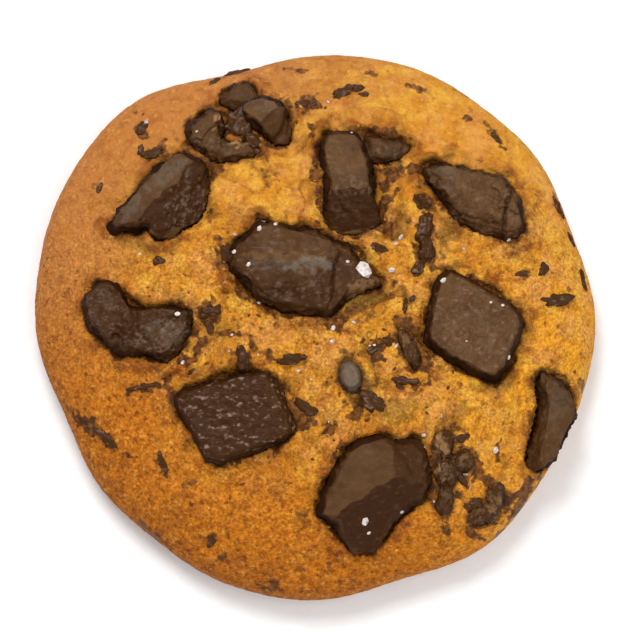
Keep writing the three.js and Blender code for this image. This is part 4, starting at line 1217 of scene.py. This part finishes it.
def lump(length, width, rise, turn, seed, place, up, detail=4, ragged=1.0):
    """A flat-topped, uneven lump, as points and faces, set on a surface."""
    ball = bmesh.new()
    bmesh.ops.create_icosphere(ball, subdivisions=detail, radius=1)
    across = up.cross(Vector((math.cos(turn), math.sin(turn), 0))).normalized()
    along = across.cross(up)
    basis = Matrix((along * length / 2, across * width / 2, up * rise)).transposed()
    offset = Vector((seed, 2 * seed, 0))
    points = []
    shape = Vector((length, width, 2 * rise)) / (1.5 * MM)
    for vertex in ball.verts:
        where = vertex.co * shape + offset
        swell = 1 + ragged * (0.62 * noise.noise(where * 0.8) + 0.22 * noise.noise(where * 2.3))
        spot = vertex.co * swell
        spot.z = min(spot.z, 0.62 + 0.25 * noise.noise(spot * 1.6 + offset))
        points.append(place + basis @ spot)
    faces = [[v.index for v in face.verts] for face in ball.faces]
    ball.free()
    return points, faces


def joined(name, parts, material):
    """Lumps joined into one object."""
    points, faces = [], []
    for some_points, some_faces in parts:
        start = len(points)
        points += some_points
        faces += [[start + i for i in face] for face in some_faces]
    mesh = bpy.data.meshes.new(name)
    mesh.from_pydata(points, [], faces)
    mesh.update()
    made = new_object(name, mesh)
    material_of(made, material)
    return made


class COOKIE_OT_bits(bpy.types.Operator):
    """Make the smaller bits of chocolate in the crust"""

    bl_idname = "cookie.bits"
    bl_label = "Bits of chocolate"

    def execute(self, context):
        ground = search_tree([bpy.data.objects["baked_dough"].data])
        parts = []
        for i, (x, y, length, width, turn) in enumerate(BITS):
            hit, up = drop(ground, x, y)
            size = (length * MM, width * MM, BIT_RISE * width * MM)
            parts.append(lump(*size, math.radians(turn), 3.1 * i, hit, up))
        made = joined("chocolate_bits", parts, bpy.data.materials["set_chocolate"])
        even = np.ones(len(made.data.vertices))
        set_attributes(made.data, {"bloom": 0.22 * even, "flecks": 0.5 * even, "gloss": 0.8 * even})
        put_on(made, "chocolate")
        return {"FINISHED"}


class COOKIE_OT_salt(bpy.types.Operator):
    """Lay the flakes of salt"""

    bl_idname = "cookie.salt"
    bl_label = "Salt"

    def execute(self, context):
        ground = search_tree(o.data for o in bpy.data.objects if o.name.startswith(("chocolate_", "baked_")))
        parts = []
        for i, (x, y, width, turn) in enumerate(SALT):
            hit, up = drop(ground, x, y)
            rise = look("salt").height * width * MM / 2
            size = (width * MM, 0.75 * width * MM, rise)
            parts.append(lump(*size, math.radians(turn), 1.7 * i, hit, up, 1, 0.5))
        made = joined("salt_flakes", parts, salt_material())
        shade(made.data, False)
        put_on(made, "dough")
        return {"FINISHED"}


def scatter_tree():
    """Scatters small uneven grains over a surface, more of them where the surface asks for them."""
    sizes = ("Per square metre", "Smallest", "Largest", "Flatness", "Sunk")
    tree, given = new_group("Scattered grains", sizes, ("Seed",))
    density = times(tree, stored(tree, "scatter"), given["Per square metre"])
    inputs = {"Mesh": given["Geometry"], "Density": density, "Seed": given["Seed"]}
    placed = add(tree, "GeometryNodeDistributePointsOnFaces", inputs).outputs
    ball = add(tree, "GeometryNodeMeshIcoSphere", {"Radius": 1.0, "Subdivisions": 2}).outputs[0]
    spot = add(tree, "GeometryNodeInputPosition").outputs[0]
    uneven = add(tree, "ShaderNodeTexNoise", {"Vector": spot, "Scale": 1.4, "Detail": 2.0}).outputs["Color"]
    away = add(tree, "ShaderNodeVectorMath", {0: uneven, 1: (0.5, 0.5, 0.5)}, operation="SUBTRACT").outputs[0]
    away = add(tree, "ShaderNodeVectorMath", {0: away, "Scale": 1.3}, operation="SCALE").outputs[0]
    ball = add(tree, "GeometryNodeSetPosition", {"Geometry": ball, "Offset": away}).outputs[0]

    def chance(low, high, seed):
        inputs = {2: low, 3: high, "Seed": seed}
        return add(tree, "FunctionNodeRandomValue", inputs, data_type="FLOAT").outputs[1]

    size = chance(given["Smallest"], given["Largest"], 1)
    longer = times(tree, size, chance(1.0, 1.9, 2))
    scale = xyz(tree, longer, size, times(tree, size, given["Flatness"]))
    turn = {0: placed["Rotation"], 1: xyz(tree, 0.0, 0.0, chance(0.0, 6.28, 3))}
    turned = add(tree, "FunctionNodeRotateRotation", turn, rotation_space="LOCAL").outputs[0]
    inputs = {"Points": placed["Points"], "Instance": ball, "Rotation": turned, "Scale": scale}
    grains = add(tree, "GeometryNodeInstanceOnPoints", inputs).outputs[0]
    inputs = {"Instances": grains, "Translation": xyz(tree, 0.0, 0.0, given["Sunk"])}
    lowered = add(tree, "GeometryNodeTranslateInstances", inputs).outputs[0]
    return end_group(tree, lowered, given["Material"])


def scattered(name, wanted, slot, values, faceted=False):
    """Grains scattered over the baked dough, as a piece of their own."""
    mesh = bpy.data.objects["baked_dough"].data.copy()
    set_attribute(mesh, "scatter", wanted(mesh_points(mesh), mesh_normals(mesh)))
    made = new_object(name, mesh)
    run_nodes(made, bpy.data.node_groups.get("Scattered grains") or scatter_tree(), values)
    shade(made.data, not faceted)
    put_on(made, slot)


class COOKIE_OT_grains(bpy.types.Operator):
    """Scatter specks of chocolate, loose crumbs and grains of salt"""

    bl_idname = "cookie.grains"
    bl_label = "Specks, crumbs and salt grains"

    def execute(self, context):
        chunks = nodes_tree(CHUNKS)

        def upward(normals):
            return smooth(normals[:, 2], 0.5, 0.8)

        def clumped(points, size, seed, low, high):
            return smooth(waves(points, size * MM, seed, 2), low, high)

        def from_middle(points):
            return np.hypot(points[:, 0], points[:, 1]) / RADIUS

        def specks(points, normals):
            inner = smooth(-from_middle(points), -0.97, -0.6)
            return upward(normals) * clumped(points, 5, 21, 0.0, 0.5) * inner

        def crumbs(points, normals):
            away = distance_to(chunks, points, 3 * MM)
            beside = smooth(away, 0.2 * MM, 0.5 * MM) * smooth(-away, -2.6 * MM, -0.9 * MM)
            return upward(normals) * beside * clumped(points, 3, 22, -0.2, 0.5)

        def salted(points, normals):
            inner = smooth(-from_middle(points), -0.9, -0.5)
            return upward(normals) * clumped(points, 7, 23, 0.0, 0.6) * inner

        speck = {"Per square metre": 1.2e5, "Smallest": 0.08 * MM, "Largest": 0.24 * MM, "Flatness": 0.5,
                 "Sunk": 0.0, "Seed": 3, "Material": speck_material()}
        scattered("chocolate_specks", specks, "chocolate", speck)
        crumb = {"Per square metre": 1.8e5, "Smallest": 0.10 * MM, "Largest": 0.20 * MM, "Flatness": 0.8,
                 "Sunk": 0.0, "Seed": 4, "Material": crumb_material()}
        scattered("dough_crumbs", crumbs, "dough", crumb)
        salt_grain = {"Per square metre": 6e4, "Smallest": 0.10 * MM, "Largest": 0.22 * MM, "Flatness": 0.8,
                         "Sunk": 0.1 * MM, "Seed": 5, "Material": bpy.data.materials["salt_flake"]}
        scattered("salt_grains", salted, "dough", salt_grain, faceted=True)
        return {"FINISHED"}


class COOKIE_OT_stage(bpy.types.Operator):
    """Set the floor, the light and the camera"""

    bl_idname = "cookie.stage"
    bl_label = "Stage"

    def execute(self, context):
        scene = context.scene
        scene.view_settings.view_transform = "Standard"
        mesh = bpy.data.meshes.new("floor")
        corners = [(x * FLOOR_HALF, y * FLOOR_HALF, FLOOR_Z) for x, y in ((-1, -1), (1, -1), (1, 1), (-1, 1))]
        mesh.from_pydata(corners, [], [(0, 1, 2, 3)])
        floor = new_object("floor", mesh)
        material_of(floor, floor_material())

        world = bpy.data.worlds.new("studio")
        world.use_nodes = True
        room = world.node_tree.nodes["Background"].inputs
        room["Color"].default_value = ROOM_TONE
        room["Strength"].default_value = ROOM_STRENGTH
        scene.world = world
        for name, (place, size, power) in LAMPS.items():
            light = bpy.data.lights.new(name, "AREA")
            light.shape = "DISK"
            light.size = size
            light.energy = power
            self.put(name, light, Vector(place), Vector(place))

        camera = bpy.data.cameras.new("camera")
        camera.lens = LENS
        camera.sensor_width = SENSOR_WIDTH
        camera.clip_start = NEAREST_SEEN
        back = Vector((0, -math.cos(ELEVATION), math.sin(ELEVATION)))
        scene.camera = self.put("camera", camera, Vector(AIM) + back * CAMERA_DISTANCE, back)
        return {"FINISHED"}

    def put(self, name, data, place, away):
        """A lamp or the camera at its place, turned so that what it points away from lies that way."""
        made = bpy.data.objects.new(name, data)
        bpy.context.scene.collection.objects.link(made)
        made.location = place
        made.rotation_mode = "QUATERNION"
        made.rotation_quaternion = away.to_track_quat("Z", "Y")
        return made


class CookieSettings(bpy.types.PropertyGroup):
    """All that a user may change"""

    crust: PointerProperty(name="Crust", description="The baked dough", type=CrustSettings)
    chocolate: PointerProperty(name="Chocolate", description="The chocolate", type=ChocolateSettings)
    salt: PointerProperty(name="Salt", description="The salt", type=SaltSettings)


STEPS = (
    COOKIE_OT_stage,
    COOKIE_OT_chunks,
    COOKIE_OT_crust,
    COOKIE_OT_bits,
    COOKIE_OT_salt,
    COOKIE_OT_grains,
)


class COOKIE_PT_panel(bpy.types.Panel):
    """Lists the cookie's pieces and their settings"""

    bl_idname = "COOKIE_PT_panel"
    bl_label = "Cookie"
    bl_space_type = "VIEW_3D"
    bl_region_type = "UI"
    bl_category = "Cookie"

    def draw(self, context):
        for step in STEPS:
            self.layout.operator(step.bl_idname)
        for group in (context.scene.cookie.crust, context.scene.cookie.chocolate, context.scene.cookie.salt):
            box = self.layout.box()
            for name in group.bl_rna.properties.keys():
                if name not in ("rna_type", "name"):
                    box.prop(group, name)


CLASSES = (CrustSettings, ChocolateSettings, SaltSettings, CookieSettings, *STEPS, COOKIE_PT_panel)


def register():
    for each in CLASSES:
        bpy.utils.register_class(each)
    bpy.types.Scene.cookie = PointerProperty(type=CookieSettings)


def unregister():
    del bpy.types.Scene.cookie
    for each in reversed(CLASSES):
        bpy.utils.unregister_class(each)


def main():
    register()
    for step in STEPS:
        group, action = step.bl_idname.split(".")
        getattr(getattr(bpy.ops, group), action)()


if __name__ == "__main__":
    main()
